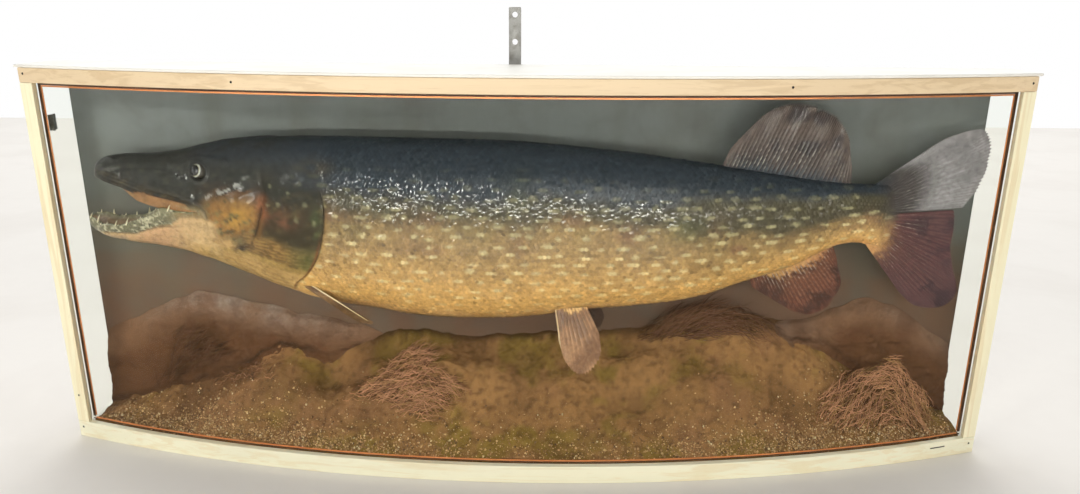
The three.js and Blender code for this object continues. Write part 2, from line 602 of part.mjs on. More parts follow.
function fish() {
  const body = bodySolid();
  const grown = bodySolid(GAP);
  const sideCut = (points) => solid(sideways(points, -CUT.half, CUT.half));
  const edge = (shift) => GILL_EDGE.map(([x, z]) => [x + shift, z]);
  const [crown, keel] = [GILL_EDGE[0][1], GILL_EDGE.at(-1)[1]];
  const seam = (shift) => THROAT_SEAM.map(([x, z]) => [x, z + shift]);
  const [seamFront, seamRear] = [THROAT_SEAM[0][1], THROAT_SEAM.at(-1)[0]];
  const ahead = sideCut([[CUT.front, crown], [CUT.front, keel], ...edge(-GAP / 2).reverse()]);
  const behind = sideCut([...edge(GAP / 2), [CUT.rear, keel], [CUT.rear, crown]]);
  const above = sideCut([...seam(GAP / 2), [seamRear, CUT.high], [CUT.front, CUT.high], [CUT.front, seamFront]]);
  const below = sideCut([...seam(-GAP / 2), [seamRear, CUT.low], [CUT.front, CUT.low], [CUT.front, seamFront]]);

  let head = billSolid().add(body.intersect(ahead).intersect(above));
  for (const [side, letter] of [[-1, 'left'], [1, 'right']]) {
    const [centreX, centreZ] = COVER_CENTRE;
    const spreadOut = (spread) => ([x, z]) => [x + spread * Math.sign(x - centreX), z + spread * Math.sign(z - centreZ)];
    const plate = (spread) => {
      const inner = middleY(centreX) + side * (COVER_INNER - spread);
      const outer = side * CUT.half;
      const rear = [[COVER_REAR, COVER.at(-1)[1] - spread], [COVER_REAR, COVER[0][1] + spread]];
      return solid(sideways([...COVER.map(spreadOut(spread)), ...rear], Math.min(inner, outer), Math.max(inner, outer)));
    };
    const cover = body.intersect(ahead).intersect(plate(0));
    place(`gill_cover_${letter}`, fromSolid(largest(cover)), flankSkin);
    head = head.subtract(plate(GAP)).subtract(solid(eyeBall(side, GAP)));
    place(`eye_${letter}`, eyeBall(side), glassEye);
  }
  place('head', fromSolid(largest(head)), backSkin);
  place('throat', fromSolid(largest(body.intersect(ahead).intersect(below))), jawSkin);
  const jaw = jawSolid();
  place('lower_jaw', fromSolid(jaw), jawSkin);
  place('tongue', fromSolid(tongueSolid(jaw)), mouthSkin);

  const ends = [COVER[2][0], ...TRUNK_CUTS, CUT.rear];
  ['trunk_front', 'trunk_middle', 'trunk_rear', 'tail_stalk'].forEach((name, k) => {
    const length = solid(block(ends[k] + GAP / 2, ends[k + 1] - GAP / 2, -CUT.half, CUT.half, CUT.low, CUT.high));
    place(name, fromSolid(largest(body.intersect(behind).intersect(length))), flankSkin);
  });

  const upright = new THREE.Vector3(0, 1, 0);
  const standing = {
    fin_dorsal: [DORSAL, finMembrane],
    fin_anal: [ANAL, finMembrane],
    fin_tail_upper: [TAIL_UPPER, finMembrane],
    fin_tail_lower: [TAIL_LOWER, finMembrane],
  };
  for (const [name, [shape, material]] of Object.entries(standing)) {
    const plate = fin(inMiddle(shape.root), inMiddle(shape.edge), FIN_ROOT, upright, 12);
    place(name, fromSolid(largest(plate.subtract(grown))), material);
  }
  const flat = new THREE.Vector3(0.5, 0.35, 0.79).normalize();
  const flatFar = new THREE.Vector3(0.5, -0.35, 0.79).normalize();
  const paired = {
    fin_pectoral_left: [PECTORAL.root, PECTORAL.edge, flat],
    fin_pectoral_right: [mirrored(PECTORAL.root), mirrored(PECTORAL.edge), flatFar],
    fin_pelvic_left: [PELVIC.root, PELVIC.edge, upright],
    fin_pelvic_right: [PELVIC_FAR.root, PELVIC_FAR.edge, upright],
  };
  for (const [name, [root, edgePoints, across]] of Object.entries(paired)) {
    const blade = fin(root, edgePoints, PAIRED_ROOT, across, 7);
    place(name, fromSolid(largest(blade.subtract(grown))), paleFin);
  }
  for (const [name, x] of Object.entries(BLOCKS)) {
    const [half, z] = [BLOCK_SIZE / 2, BLOCK_HEIGHT];
    const wood = solid(block(x - half, x + half, BLOCK_FRONT, BOARD_FACE - GAP, z - half, z + half));
    place(name, fromSolid(largest(wood.subtract(grown))), plainBoard);
  }
}

// ---------------------------------------------------------------- assembly

caseWithGlass();
place('hanging_strap', strap(), steel);
place('glazing_clip', glazingClip(), steel);
const earthwork = groundwork();
place('groundwork', earthwork, earth);
const ground = solid(earthwork);
const rocks = { rock_left: rock(ROCK_LEFT, ground), rock_right: rock(ROCK_RIGHT, ground) };
for (const [name, geometry] of Object.entries(rocks)) place(name, geometry, rockPaint);
const standing = [ground, ...Object.values(rocks).map(solid)];
for (const [name, clump] of Object.entries(WEEDS)) place(name, weed(clump, standing), driedWeed);
fish();

export default model;
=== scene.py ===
"""A pike mounted in a bow-fronted glass case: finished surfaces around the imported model.

Sizes are in millimetres and turn into metres where a mesh is made. X runs from the snout (-X) to the
tail (+X), the glass front faces -Y, and the origin is at the middle of the case's underside.
"""
import math
from itertools import chain

import bpy
import numpy as np
from mathutils import Matrix, Vector
from mathutils.geometry import tessellate_polygon


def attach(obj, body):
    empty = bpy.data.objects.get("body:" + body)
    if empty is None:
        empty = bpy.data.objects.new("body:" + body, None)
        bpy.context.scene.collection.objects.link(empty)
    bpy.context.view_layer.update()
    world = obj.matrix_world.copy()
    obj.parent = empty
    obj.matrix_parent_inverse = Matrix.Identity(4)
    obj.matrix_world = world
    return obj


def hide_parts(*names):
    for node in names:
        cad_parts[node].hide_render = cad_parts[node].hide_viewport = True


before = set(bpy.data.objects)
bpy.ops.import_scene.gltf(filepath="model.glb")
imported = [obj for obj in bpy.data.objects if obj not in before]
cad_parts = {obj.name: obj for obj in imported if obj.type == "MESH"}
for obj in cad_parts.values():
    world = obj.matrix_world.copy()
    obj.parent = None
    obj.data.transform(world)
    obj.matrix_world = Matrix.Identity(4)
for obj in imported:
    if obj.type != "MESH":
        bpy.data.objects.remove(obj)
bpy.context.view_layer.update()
MM = 0.001

# ---------------- sizes

CASE_HALF = 625
CASE_FRONT = -92.5
CASE_HEIGHT = 510
BOW = 98
BOW_RADIUS = (CASE_HALF ** 2 + BOW ** 2) / (2 * BOW)
BOW_CENTRE = CASE_FRONT + BOW_RADIUS
STILE_FACE = 19
BOTTOM_RAIL = 24
TOP_RAIL = 18
LIP = 8
FRAME_DEEP = 20
BOTTOM_SEAT = 10
TOP_SEAT = 8
GLASS_BITE = 7
GLASS_IN = 8.3
GLASS_THICK = 3
LID_LOW = 510.3
LID_THICK = 3.5
LID_OVERHANG = 5
BASE_THICK = 12
BOARD_FACE = 79.5
BOARD_REAR = 85.5
GAP = 0.3  # clearance between neighbours
OPENING_HALF = CASE_HALF - STILE_FACE
OPENING_TOP = CASE_HEIGHT - TOP_RAIL

STRAP = {"at": -12, "width": 16, "thick": 3, "bend": 5, "front": 85.8, "rear": 92.5,
         "foot": 455, "crank": 521.5, "top": 586}
STRAP_HOLE = 7.2
STRAP_HOLES = (542.3, 576.6)
STRAP_CORNER = 1.2
STRAP_SCREWS = (14, 44)  # heights over the foot of the strap
FRAME_PINS = ((-616, 64), (-617, 15), (616, 15), (-617, 503), (617, 502), (-330, 501), (310, 501))
CATCH = {"from": 556, "to": 578, "low": 15.2, "high": 16.6, "deep": 0.5, "slope": 0.02}

GROUND_HALF = 605.6
GROUND_FRONT = 22
GROUND_LOW = 12.3
GROUND_INSET = 12
CREST = (
    (-606, 36), (-531, 55), (-463, 86), (-402, 107), (-345, 124), (-285, 122), (-240, 134), (-180, 141),
    (-60, 135), (60, 137), (170, 146), (250, 158), (320, 166), (400, 158), (480, 118), (550, 74), (606, 42),
)
# Mounds and hollows: x, y, reach along, reach across, height.
MOUNDS = (
    (-345, 18, 75, 34, 22), (-262, 34, 34, 24, -18), (-60, 22, 120, 26, 14),
    (150, -4, 60, 22, -8), (262, 12, 70, 30, 16), (390, 40, 60, 22, 12),
)
ROCKS = {
    "rock_left": ((-606, 134), (-580, 147), (-522, 172), (-480, 190), (-458, 194), (-420, 186), (-360, 173),
                  (-317, 163), (-271, 154), (-228, 145), (-190, 128)),
    "rock_right": ((330, 150), (372, 164), (415, 172), (455, 190), (484, 199), (515, 190), (560, 163),
                   (606, 133)),
}
ROCK_FOOT = 24  # depth of a rock at its foot and along its top
ROCK_EDGE = 4
# Clumps of dried weed: the outline seen from the front, the ridge the strands fall away from, their slope in
# degrees left and right of it, the softness of the ridge, and the number, length and depth of the strands.
WEEDS = {
    "weed_left": (((-538, 58), (-513, 84), (-497, 118), (-488, 148), (-462, 148), (-439, 134), (-412, 112),
                   (-438, 98), (-478, 81), (-509, 65)), -484, 58, 30, 20, 330, 20, 6),
    "weed_middle": (((-243, 70), (-203, 95), (-178, 115), (-159, 124), (-127, 122), (-126, 110),
                     (-93, 98), (-80, 88), (-98, 80), (-109, 64), (-130, 55), (-158, 63), (-181, 72),
                     (-207, 74)), -124, 19, -24, 34, 1000, 24, 15),
    "weed_small": (((-444, 68), (-440, 77), (-408, 89), (-373, 98), (-350, 97), (-355, 90), (-397, 77)),
                   -600, 12, 12, 20, 50, 18, 5),
    "weed_back": (((168, 142), (190, 168), (240, 187), (303, 186), (350, 164), (307, 152), (251, 146)),
                  268, 34, -24, 60, 460, 50, 12),
    "weed_right": (((400, 58), (415, 88), (463, 100), (497, 108), (514, 128), (532, 104), (556, 84),
                    (574, 60), (570, 44), (534, 40), (480, 44), (436, 50)), 514, 27, -60, 16, 1000, 26, 16),
}

# The fish. Its middle plane curves towards the back of the case at head and tail.
MIDDLE = 5.5
MIDDLE_SWING = 20
MIDDLE_REACH = 560
UPPER_POWER = 2.35
LOWER_POWER = 2.15
BILL_POWER = 2.5
JAW_POWER = 2.3
# Stations of the body: x, back, belly, half width, height of the widest part as a share of the depth.
BODY = (
    (-401, 418.5, 262, 42, 0.467), (-375, 424, 251.5, 47, 0.42), (-350, 426.5, 242.5, 51.5, 0.42),
    (-323, 428, 232, 55, 0.43), (-296, 428.5, 223, 58, 0.44), (-270, 429, 215, 60, 0.45),
    (-240, 429, 209, 61, 0.46), (-190, 428, 202.5, 62, 0.48), (-136, 427.5, 194, 63.5, 0.49),
    (-82, 427, 191, 64.5, 0.5), (-28, 426, 191.5, 64.5, 0.5), (25, 423, 196, 63.5, 0.5),
    (78, 418.5, 205, 62, 0.5), (131, 413, 209, 58.5, 0.5), (184, 406.5, 214.5, 54, 0.5),
    (236, 399.5, 224.5, 49, 0.5), (288, 391.5, 243, 42, 0.5), (339, 383.5, 260, 34, 0.5),
    (364, 380, 270, 29.5, 0.5), (389, 377, 284, 25.5, 0.5), (414, 375, 294, 22, 0.5),
    (430, 374, 296, 19.5, 0.5), (450, 373, 293, 15, 0.5), (466, 372.5, 289.5, 9, 0.5),
)
MOUTH_CORNER = BODY[0][0]
TAIL_END = BODY[-1][0]
SKIN_END = 484  # the skin thins out between the lobes of the tail
# Stations of the upper jaw: x, ridge, lip, half width at the lip.
BILL = (
    (-557, 382, 376, 3), (-553, 390, 372.5, 13), (-545, 396, 370.5, 19), (-530, 400, 367, 24.5),
    (-505, 402, 360, 28.5), (-475, 404, 350.5, 31.5), (-440, 408.5, 343, 35.5), (-415, 415, 338, 40),
    (-401, 418.5, 335, 42),
)
ROOF_LIFT = 12
# Stations of the lower jaw: x, rim, chin, half width, floor of the mouth.
JAW = (
    (-575, 315, 311, 2.5, 313), (-571, 317, 302.5, 11, 309), (-562, 316.5, 295.5, 18, 303),
    (-545, 311, 289.5, 25.5, 298), (-520, 311, 285.5, 31, 296), (-498, 318, 283, 34, 296),
    (-475, 327, 280.5, 36, 298), (-455, 334, 277, 38, 301), (-430, 333.5, 271, 40, 306),
    (-401, 335, 262, 42, 312),
)
TONGUE = {"x": -480, "long": 52, "half": 12, "thick": 4.5, "above": 4.2}
SKIN_DEPTH = 1.0  # how far the skin lies inside the full outline, to leave room for the scales
EYE = {"x": -402, "z": 386, "radius": 11.5, "sunk": 8.5}
NOSTRILS = ((-431, 381.5), (-424, 378.5))

# Lines on the side of the head, as x and z.
GILL_EDGE = (
    (-262, 460), (-268, 414), (-260, 397), (-249, 384), (-242, 365), (-239, 347), (-240, 328), (-244, 309),
    (-250, 289), (-259, 272), (-271, 257), (-284, 246), (-292, 232), (-297, 214), (-302, 180),
)
CHEEK_CREASE = ((-318, 382), (-314, 366), (-320, 345), (-324, 331), (-331, 308), (-342, 296), (-362, 290))
MAXILLA = ((-478, 362), (-450, 356), (-420, 349), (-399, 341), (-394, 332))
JAW_FOLD = ((-552, 301), (-504, 301), (-463, 313), (-430, 315), (-404, 314), (-392, 322))
BROW = ((-440, 391), (-424, 397), (-405, 401), (-386, 402), (-366, 400))
SNOUT_GROOVE = ((-540, 386), (-505, 388), (-468, 390), (-440, 389))
COVER_FOOT = ((-404, 300), (-373, 291), (-344, 286), (-313, 277), (-285, 268), (-262, 262))
LIP_LINES = ((5.5, 0.9), (10.5, 0.6), (15.0, 0.5))  # grooves along the lip: height over it, depth
PORES = (
    (-548, 381), (-530, 380), (-510, 379), (-488, 377), (-464, 373), (-444, 369), (-424, 364), (-404, 361),
    (-384, 362), (-366, 367), (-350, 376), (-545, 299), (-520, 296), (-494, 295), (-466, 294), (-438, 290),
    (-410, 284), (-384, 306), (-358, 303),
)

# Fins: root and edge from the front ray to the last.
FINS = {
    "fin_dorsal": {
        "root": ((248, 382), (300, 375), (360, 369), (420, 364)),
        "edge": ((263, 418), (282, 441), (305, 464), (328, 474), (350, 475), (374, 468), (397, 455),
                 (411, 430), (417, 398)),
        "rays": 32,
    },
    "fin_anal": {
        "root": ((296, 260), (330, 270), (366, 284), (402, 300)),
        "edge": ((304, 234), (324, 222), (345, 209), (371, 195), (396, 197), (414, 214), (422, 240),
                 (413, 272)),
        "rays": 26,
    },
    "fin_tail_upper": {
        "root": ((444, 368), (450, 358), (454, 346), (455, 333.2)),
        "edge": ((503, 411), (530, 429), (556, 440), (579, 443), (591, 430), (593, 408), (590, 385),
                 (583, 362), (571, 342)),
        "rays": 20,
    },
    "fin_tail_lower": {
        "root": ((455, 332.8), (454, 320), (451, 308), (444, 298)),
        "edge": ((559, 339), (562, 312), (562, 288), (569, 262), (577, 240), (578, 220), (566, 205),
                 (546, 203), (522, 209), (501, 227)),
        "rays": 22,
    },
}
PECTORAL = {
    "root": ((-287, -25, 254), (-284, -28, 248), (-281, -27, 243)),
    "edge": ((-190, -62, 207), (-184, -56, 203), (-190, -44, 196), (-206, -33, 191)),
}
PELVIC = {
    "root": ((44, -22, 217), (62, -23, 214), (86, -20, 215)),
    "edge": ((51, -38, 174), (60, -42, 146), (76, -44, 130), (92, -43, 134), (105, -39, 155),
             (103, -34, 184)),
}
PELVIC_FAR = {
    "root": ((62, 27, 214), (74, 28, 212), (86, 27, 214)),
    "edge": ((84, 32, 186), (96, 36, 166), (108, 36, 162), (113, 34, 180), (106, 31, 198)),
}

# ---------------- arithmetic

FULL_TURN = 2 * math.pi


def mix(a, b, t):
    return a + (b - a) * t


def smooth(low, high, value):
    t = np.clip((value - low) / (high - low), 0, 1)
    return t * t * (3 - 2 * t)


def bell(distance, reach):
    return np.exp(-(distance / reach) ** 2)


def power(value, exponent):
    return np.sign(value) * np.abs(value) ** (2 / exponent)


def unit(vectors):
    return vectors / (np.linalg.norm(vectors, axis=-1, keepdims=True) + 1e-9)


def turns(count):
    """Equal steps of angle round a circle."""
    return np.linspace(0, FULL_TURN, count + 1)[:-1]


def side_view(points):
    return points[..., 0], points[..., 2]


def stack(*values):
    """Values side by side along a new last axis."""
    return np.stack(values, -1)


def along(table, x, column=1):
    """Smooth value of one column of a table of stations, without overshoot."""
    rows = np.array(table, float)
    at, values = rows[:, 0], rows[:, column]
    slope = np.diff(values) / np.diff(at)
    product = slope[:-1] * slope[1:]
    safe = np.where(product > 0, slope[:-1] + slope[1:], 1)
    tangent = np.concatenate(([slope[0]], np.where(product > 0, 2 * product / safe, 0), [slope[-1]]))
    x = np.clip(x, at[0], at[-1])
    i = np.clip(np.searchsorted(at, x, side="right") - 1, 0, len(at) - 2)
    width = at[i + 1] - at[i]
    t = (x - at[i]) / width
    ends = (1 + 2 * t) * (1 - t) ** 2 * values[i] + t * t * (3 - 2 * t) * values[i + 1]
    return ends + (t * (1 - t) ** 2 * tangent[i] + t * t * (t - 1) * tangent[i + 1]) * width


def hashed(ix, iy, iz, seed):
    """A repeatable number from 0 to 1 for each cell of a lattice."""
    n = (ix * 374761393 + iy * 668265263 + iz * 1442695041 + seed * 974634777) & 0xFFFFFFFF
    n = ((n ^ (n >> 13)) * 1274126177) & 0xFFFFFFFF
    return ((n ^ (n >> 16)) & 0xFFFFFF) / 0xFFFFFF


def noise(points, size, seed=0):
    """Smooth noise from -1 to 1, with features about size across."""
    q = np.asarray(points, float) / size
    cell = np.floor(q).astype(np.int64)
    f = q - cell
    f = f * f * (3 - 2 * f)
    total = 0
    for corner in range(8):
        step = np.array([corner & 1, corner >> 1 & 1, corner >> 2])
        share = np.prod(np.where(step, f, 1 - f), axis=-1)
        total = total + share * hashed(*np.moveaxis(cell + step, -1, 0), seed)
    return 2 * total - 1


def rough(points, size, seed=0, octaves=3):
    return sum(noise(points, size / 2 ** k, seed + k) / 2 ** k for k in range(octaves))


def near_line(x, z, line):
    """Distance to a line of straight stretches, as seen from the side."""
    best = np.full(np.shape(x), 1e9)
    for (x0, z0), (x1, z1) in zip(line, line[1:]):
        dx, dz = x1 - x0, z1 - z0
        t = np.clip(((x - x0) * dx + (z - z0) * dz) / (dx * dx + dz * dz), 0, 1)
        best = np.minimum(best, np.hypot(x - x0 - t * dx, z - z0 - t * dz))
    return best


def middle_y(x):
    return MIDDLE + MIDDLE_SWING * np.minimum(1, np.abs(x) / MIDDLE_REACH) ** 2


def bow_y(x, inset):
    return BOW_CENTRE - np.sqrt((BOW_RADIUS - inset) ** 2 - np.square(x))


def colour(red, green, blue):
    """Linear colour from the usual 0 to 255 values."""
    c = np.array([red, green, blue], float) / 255
    return np.where(c <= 0.04045, c / 12.92, ((c + 0.055) / 1.055) ** 2.4)


def painted(tone, shade, share):
    """The tone with a share of a shade laid over it. Either may be a tuple of 0 to 255 values."""
    under, over = (colour(*given) if isinstance(given, tuple) else given for given in (tone, shade))
    return mix(under, over, np.asarray(share)[..., None])


def catmull(points, u):
    """Points at shares u, from 0 to 1, of a smooth curve through the given points."""
    p = np.array(points, float)
    s = np.asarray(u) * (len(p) - 1)
    i = np.clip(np.floor(s).astype(int), 0, len(p) - 2)
    t = (s - i)[..., None]
    padded = np.vstack([2 * p[0] - p[1], p, 2 * p[-1] - p[-2]])
    a, b, c, d = (padded[i + k] for k in range(4))
    cubic = (3 * b - a - 3 * c + d) * t ** 3
    return 0.5 * (2 * b + (c - a) * t + (2 * a - 5 * b + 4 * c - d) * t ** 2 + cubic)


# ---------------- meshes


def grid(rows, columns, start=0, closed=False):
    """Quads over rows of points, joined round if closed."""
    r = np.arange(rows - 1)[:, None]
    c = np.arange(columns if closed else columns - 1)[None, :]
    a, b = r * columns + c, r * columns + (c + 1) % columns
    return stack(a, b, b + columns, a + columns).reshape(-1, 4) + start


def border(rows, columns):
    """The points round the edge of a grid, in order."""
    count = rows * columns
    return [*range(columns), *range(2 * columns - 1, count, columns),
            *range(count - 2, count - columns - 1, -1), *range(count - 2 * columns, 0, -columns)]


def fan(ring, centre):
    """Triangles from each stretch of a ring to its centre."""
    ring = np.asarray(ring)
    return stack(ring, np.roll(ring, -1), np.full(len(ring), centre))


def barrel(rows, columns, start=0):
    """Faces of a tube of rings, with flat ends."""
    first, last = range(start, start + columns), range(start + (rows - 1) * columns, start + rows * columns)
    return [*grid(rows, columns, start, closed=True).tolist(), list(first)[::-1], list(last)]


def bulb(rows, columns, step):
    """Faces of a tube of rings that ends in two single points. A step of -1 turns its ends the other way."""
    last = rows * columns
    ends = [fan(range(columns)[::step], last), fan(range(last - columns, last)[::-step], last + 1)]
    return [face for part in (grid(rows, columns, closed=True), *ends) for face in part.tolist()]


def weld(points, faces, *fields, size=0.02):
    """Draws points that lie together into one, and drops the faces that this closes up."""
    cells = np.round(points / size).astype(np.int64)
    _, first, index = np.unique(cells, axis=0, return_index=True, return_inverse=True)
    index = index.reshape(-1)
    kept = []
    for group in faces:
        for face in index[group]:
            corners = list(dict.fromkeys(face.tolist()))
            if len(corners) > 2:
                kept.append(corners)
    return points[first], kept, *(field[first] for field in fields)


def add_piece(name, points, faces, material, slot, nodes=(), tone=None, masks=None, crease=40, uv=None):
    """One object riding on the case. tone is a colour for each point, masks are further named values."""
    mesh = bpy.data.meshes.new(name)
    flat = [f.tolist() if hasattr(f, "tolist") else list(f) for f in faces]
    if flat and isinstance(flat[0][0], list):
        flat = list(chain.from_iterable(flat))
    mesh.from_pydata((np.asarray(points, float) * MM).tolist(), [], flat)
    mesh.polygons.foreach_set("use_smooth", np.ones(len(mesh.polygons), bool))
    if tone is not None:
        rgba = np.concatenate([tone, np.ones((len(tone), 1))], 1).astype(np.float32)
        mesh.attributes.new("tone", "FLOAT_COLOR", "POINT").data.foreach_set("color", rgba.ravel())
    for key, values in (masks or {}).items():
        attribute = mesh.attributes.new(key, "FLOAT", "POINT")
        attribute.data.foreach_set("value", np.asarray(values, np.float32))
    if uv is not None:
        layer = mesh.uv_layers.new(name="OFBake")
        corner = np.empty(len(mesh.loops), np.int32)
        mesh.loops.foreach_get("vertex_index", corner)
        layer.data.foreach_set("uv", uv[corner].astype(np.float32).ravel())
    mesh.set_sharp_from_angle(angle=math.radians(crease))
    mesh.update()
    piece = bpy.data.objects.new(name, mesh)
    bpy.context.scene.collection.objects.link(piece)
    mesh.materials.append(material)
    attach(piece, "root")
    if nodes:
        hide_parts(*nodes)


def rounded(outline, radius, steps=2):
    """The outline with each corner turned over a small radius."""
    points = np.array(outline, float)
    out = []
    for k, corner in enumerate(points):
        before, after = points[k - 1] - corner, points[(k + 1) % len(points)] - corner
        a = corner + before / np.linalg.norm(before) * radius
        b = corner + after / np.linalg.norm(after) * radius
        for s in np.linspace(0, 1, steps + 1):
            out.append((1 - s) ** 2 * a + 2 * s * (1 - s) * corner + s * s * b)
    return np.array(out)


def swept(profile, place, stations, bevel):
    """A closed bar: place(station, profile) gives each ring, and both ends are drawn in by the bevel."""
    middle = profile.mean(0)
    small = middle + (profile - middle) * (1 - bevel / np.abs(profile - middle).max())
    rows = [place(stations[0], small), place(stations[0] + bevel, profile)]
    rows += [place(s, profile) for s in stations[1:-1]]
    rows += [place(stations[-1] - bevel, profile), place(stations[-1], small)]
    return np.concatenate(rows), barrel(len(rows), len(profile))


# ---------------- shader nodes


class Wiring:
    """Adds nodes to one tree. A value that is a socket is linked, and any other is set.

    A colour of three values is in 0 to 255 values, and one of four is linear.
    """

    def __init__(self, tree):
        self.tree = tree

    def put(self, kind, inputs=None, **settings):
        node = self.tree.nodes.new(f"ShaderNode{kind}")
        for key, value in settings.items():
            setattr(node, key, value)
        for key, value in (inputs or {}).items():
            self.set(node.inputs[key], value)
        return node

    def set(self, socket, value):
        if isinstance(value, bpy.types.NodeSocket):
            self.tree.links.new(value, socket)
        elif socket.type == "RGBA":
            socket.default_value = (*colour(*value), 1) if len(value) == 3 else value
        else:
            socket.default_value = value

    def math(self, operation, a, b, clamp=False):
        node = self.put("Math", {0: a, 1: b}, operation=operation, use_clamp=clamp)
        return node.outputs[0]

    def times(self, a, b, clamp=False):
        return self.math("MULTIPLY", a, b, clamp)

    def plus(self, a, b):
        return self.math("ADD", a, b)

    def blend(self, share, a, b, mode="MIX", kind="Color"):
        data_type = "RGBA" if kind == "Color" else "VECTOR"
        node = self.put("Mix", data_type=data_type, blend_type=mode)
        for key, value in (("Factor_Float", share), (f"A_{kind}", a), (f"B_{kind}", b)):
            self.set(next(s for s in node.inputs if s.identifier == key), value)
        return next(s for s in node.outputs if s.identifier == f"Result_{kind}")

    def shaded(self, tint, level):
        """A colour made lighter or darker by a level round 1."""
        grey = self.put("CombineColor", {0: level, 1: level, 2: level}).outputs[0]
        return self.blend(1.0, tint, grey, "MULTIPLY")

    def grain(self, vector, scale, detail=3.0, roughness=0.5, distortion=0.0):
        inputs = {"Vector": vector, "Scale": scale, "Detail": detail, "Roughness": roughness,
                  "Distortion": distortion}
        return self.put("TexNoise", inputs).outputs["Fac"]

    def between(self, value, low, high, to_low=0.0, to_high=1.0):
        inputs = {"Value": value, "From Min": low, "From Max": high, "To Min": to_low, "To Max": to_high}
        return self.put("MapRange", inputs, interpolation_type="SMOOTHSTEP").outputs[0]

    def here(self):
        return self.put("TexCoord").outputs["Object"]

    def stretched(self, vector, scale):
        return self.put("Mapping", {"Vector": vector, "Scale": scale}).outputs[0]

    def attribute(self, name, output="Color"):
        return self.put("Attribute", attribute_name=name).outputs[output]


def new_group(name, inputs, outputs):
    """A shader group. inputs maps names to default numbers or colours, and outputs maps names to kinds."""
    tree = bpy.data.node_groups.new(name, "ShaderNodeTree")
    for key, value in inputs.items():
        kind = "NodeSocketFloat" if isinstance(value, (int, float)) else "NodeSocketColor"
        socket = tree.interface.new_socket(key, in_out="INPUT", socket_type=kind)
        socket.default_value = value if kind == "NodeSocketFloat" else (*value, 1)
    for key, kind in outputs.items():
        tree.interface.new_socket(key, in_out="OUTPUT", socket_type=f"NodeSocket{kind}")
    given = tree.nodes.new("NodeGroupInput").outputs
    return Wiring(tree), given, tree.nodes.new("NodeGroupOutput").inputs


def mottle_group():
    """Soft blotches of a second colour, and finer specks of light and dark over both."""
    w, given, out = new_group(
        "mottle",
        {"Colour": (0.5, 0.5, 0.5), "Blotch": (0.2, 0.2, 0.2), "Share": 0.5, "Scale": 60.0, "Speck": 0.3},
        {"Colour": "Color", "Height": "Float"},
    )
    here = w.stretched(w.here(), (1, 1, 1))
    broad = w.grain(here, given["Scale"], 4.0, 0.6, 0.4)
    fine = w.grain(here, w.times(given["Scale"], 9.0), 2.0, 0.6)
    share = w.times(w.between(broad, 0.42, 0.68), given["Share"])
    mixed = w.blend(share, given["Colour"], given["Blotch"])
    level = w.plus(w.times(w.math("SUBTRACT", fine, 0.5), given["Speck"]), 1.0)
    w.set(out["Colour"], w.shaded(mixed, level))
    w.set(out["Height"], w.plus(broad, w.times(fine, 0.3)))
    return w.tree


def wood_group():
    """Straight grain along X, or along Z if upright, with pores and broad drifts of light and dark."""
    w, given, out = new_group(
        "straight_grain",
        {"Light": (0.8, 0.7, 0.5), "Dark": (0.5, 0.35, 0.2), "Strength": 0.5, "Upright": 0.0},
        {"Colour": "Color", "Height": "Float"},
    )
    here = w.here()
    lying, standing = w.stretched(here, (3, 60, 75)), w.stretched(here, (75, 60, 3))
    run = w.blend(given["Upright"], lying, standing, kind="Vector")
    rings = w.grain(run, 1.6, 5.0, 0.55, 0.8)
    pores = w.grain(run, 9.0, 2.0, 0.6)
    drift = w.grain(run, 0.25, 2.0, 0.5)
    lines = w.between(rings, 0.46, 0.62)
    dots = w.between(pores, 0.6, 0.72)
    share = w.times(w.plus(lines, w.times(dots, 0.6)), given["Strength"], clamp=True)
    mixed = w.blend(share, given["Light"], given["Dark"])
    w.set(out["Colour"], w.shaded(mixed, w.between(drift, 0.3, 0.7, 0.93, 1.05)))
    w.set(out["Height"], w.math("SUBTRACT", 1.0, w.plus(w.times(lines, 0.4), dots)))
    return w.tree


MOTTLE = mottle_group()
WOOD = wood_group()


def new_material(name, roughness=0.5, **values):
    """A material with its Principled shader. Each value is set on the shader's own socket."""
    material = bpy.data.materials.new(name)
    material.use_nodes = True
    w = Wiring(material.node_tree)
    shader = material.node_tree.nodes["Principled BSDF"]
    shader.inputs["Roughness"].default_value = roughness
    for key, value in values.items():
        w.set(shader.inputs[key.replace("_", " ").title().replace("Ior", "IOR")], value)
    return material, w, shader.inputs


def placed(w, group, **values):
    node = w.put("Group", node_tree=group)
    for key, value in values.items():
        w.set(node.inputs[key], value)
    return node.outputs


def bump(w, shader, height, strength, distance):
    node = w.put("Bump", {"Height": height, "Strength": strength, "Distance": distance * MM})
    w.set(shader["Normal"], node.outputs[0])


def mottled(name, base, blotch, roughness, share, scale, speck, relief, depth, wet=None, **values):
    """A finish with blotches and specks over its base colour. Its bumps are depth deep at full relief."""
    material, w, shader = new_material(name, roughness, **values)
    if wet:
        w.set(shader["Coat Weight"], w.attribute(wet, "Fac"))
    if base is None:
        base = w.attribute("tone")
    parts = placed(w, MOTTLE, Colour=base, Blotch=blotch, Share=share, Scale=scale, Speck=speck)
    w.set(shader["Base Color"], parts["Colour"])
    bump(w, shader, parts["Height"], relief, depth)
    return material


def wooden(name, light, dark, strength, roughness, upright=0.0, **values):
    material, w, shader = new_material(name, roughness, **values)
    parts = placed(w, WOOD, Light=light, Dark=dark, Strength=strength, Upright=upright)
    w.set(shader["Base Color"], parts["Colour"])
    bump(w, shader, parts["Height"], 0.25, 0.15)
    return material


def toned(name, roughness, share, scale, speck, relief, depth, blotch, **values):
    """The same finish over the colour painted on the points of the mesh."""
    return mottled(name, None, blotch, roughness, share, scale, speck, relief, depth, **values)


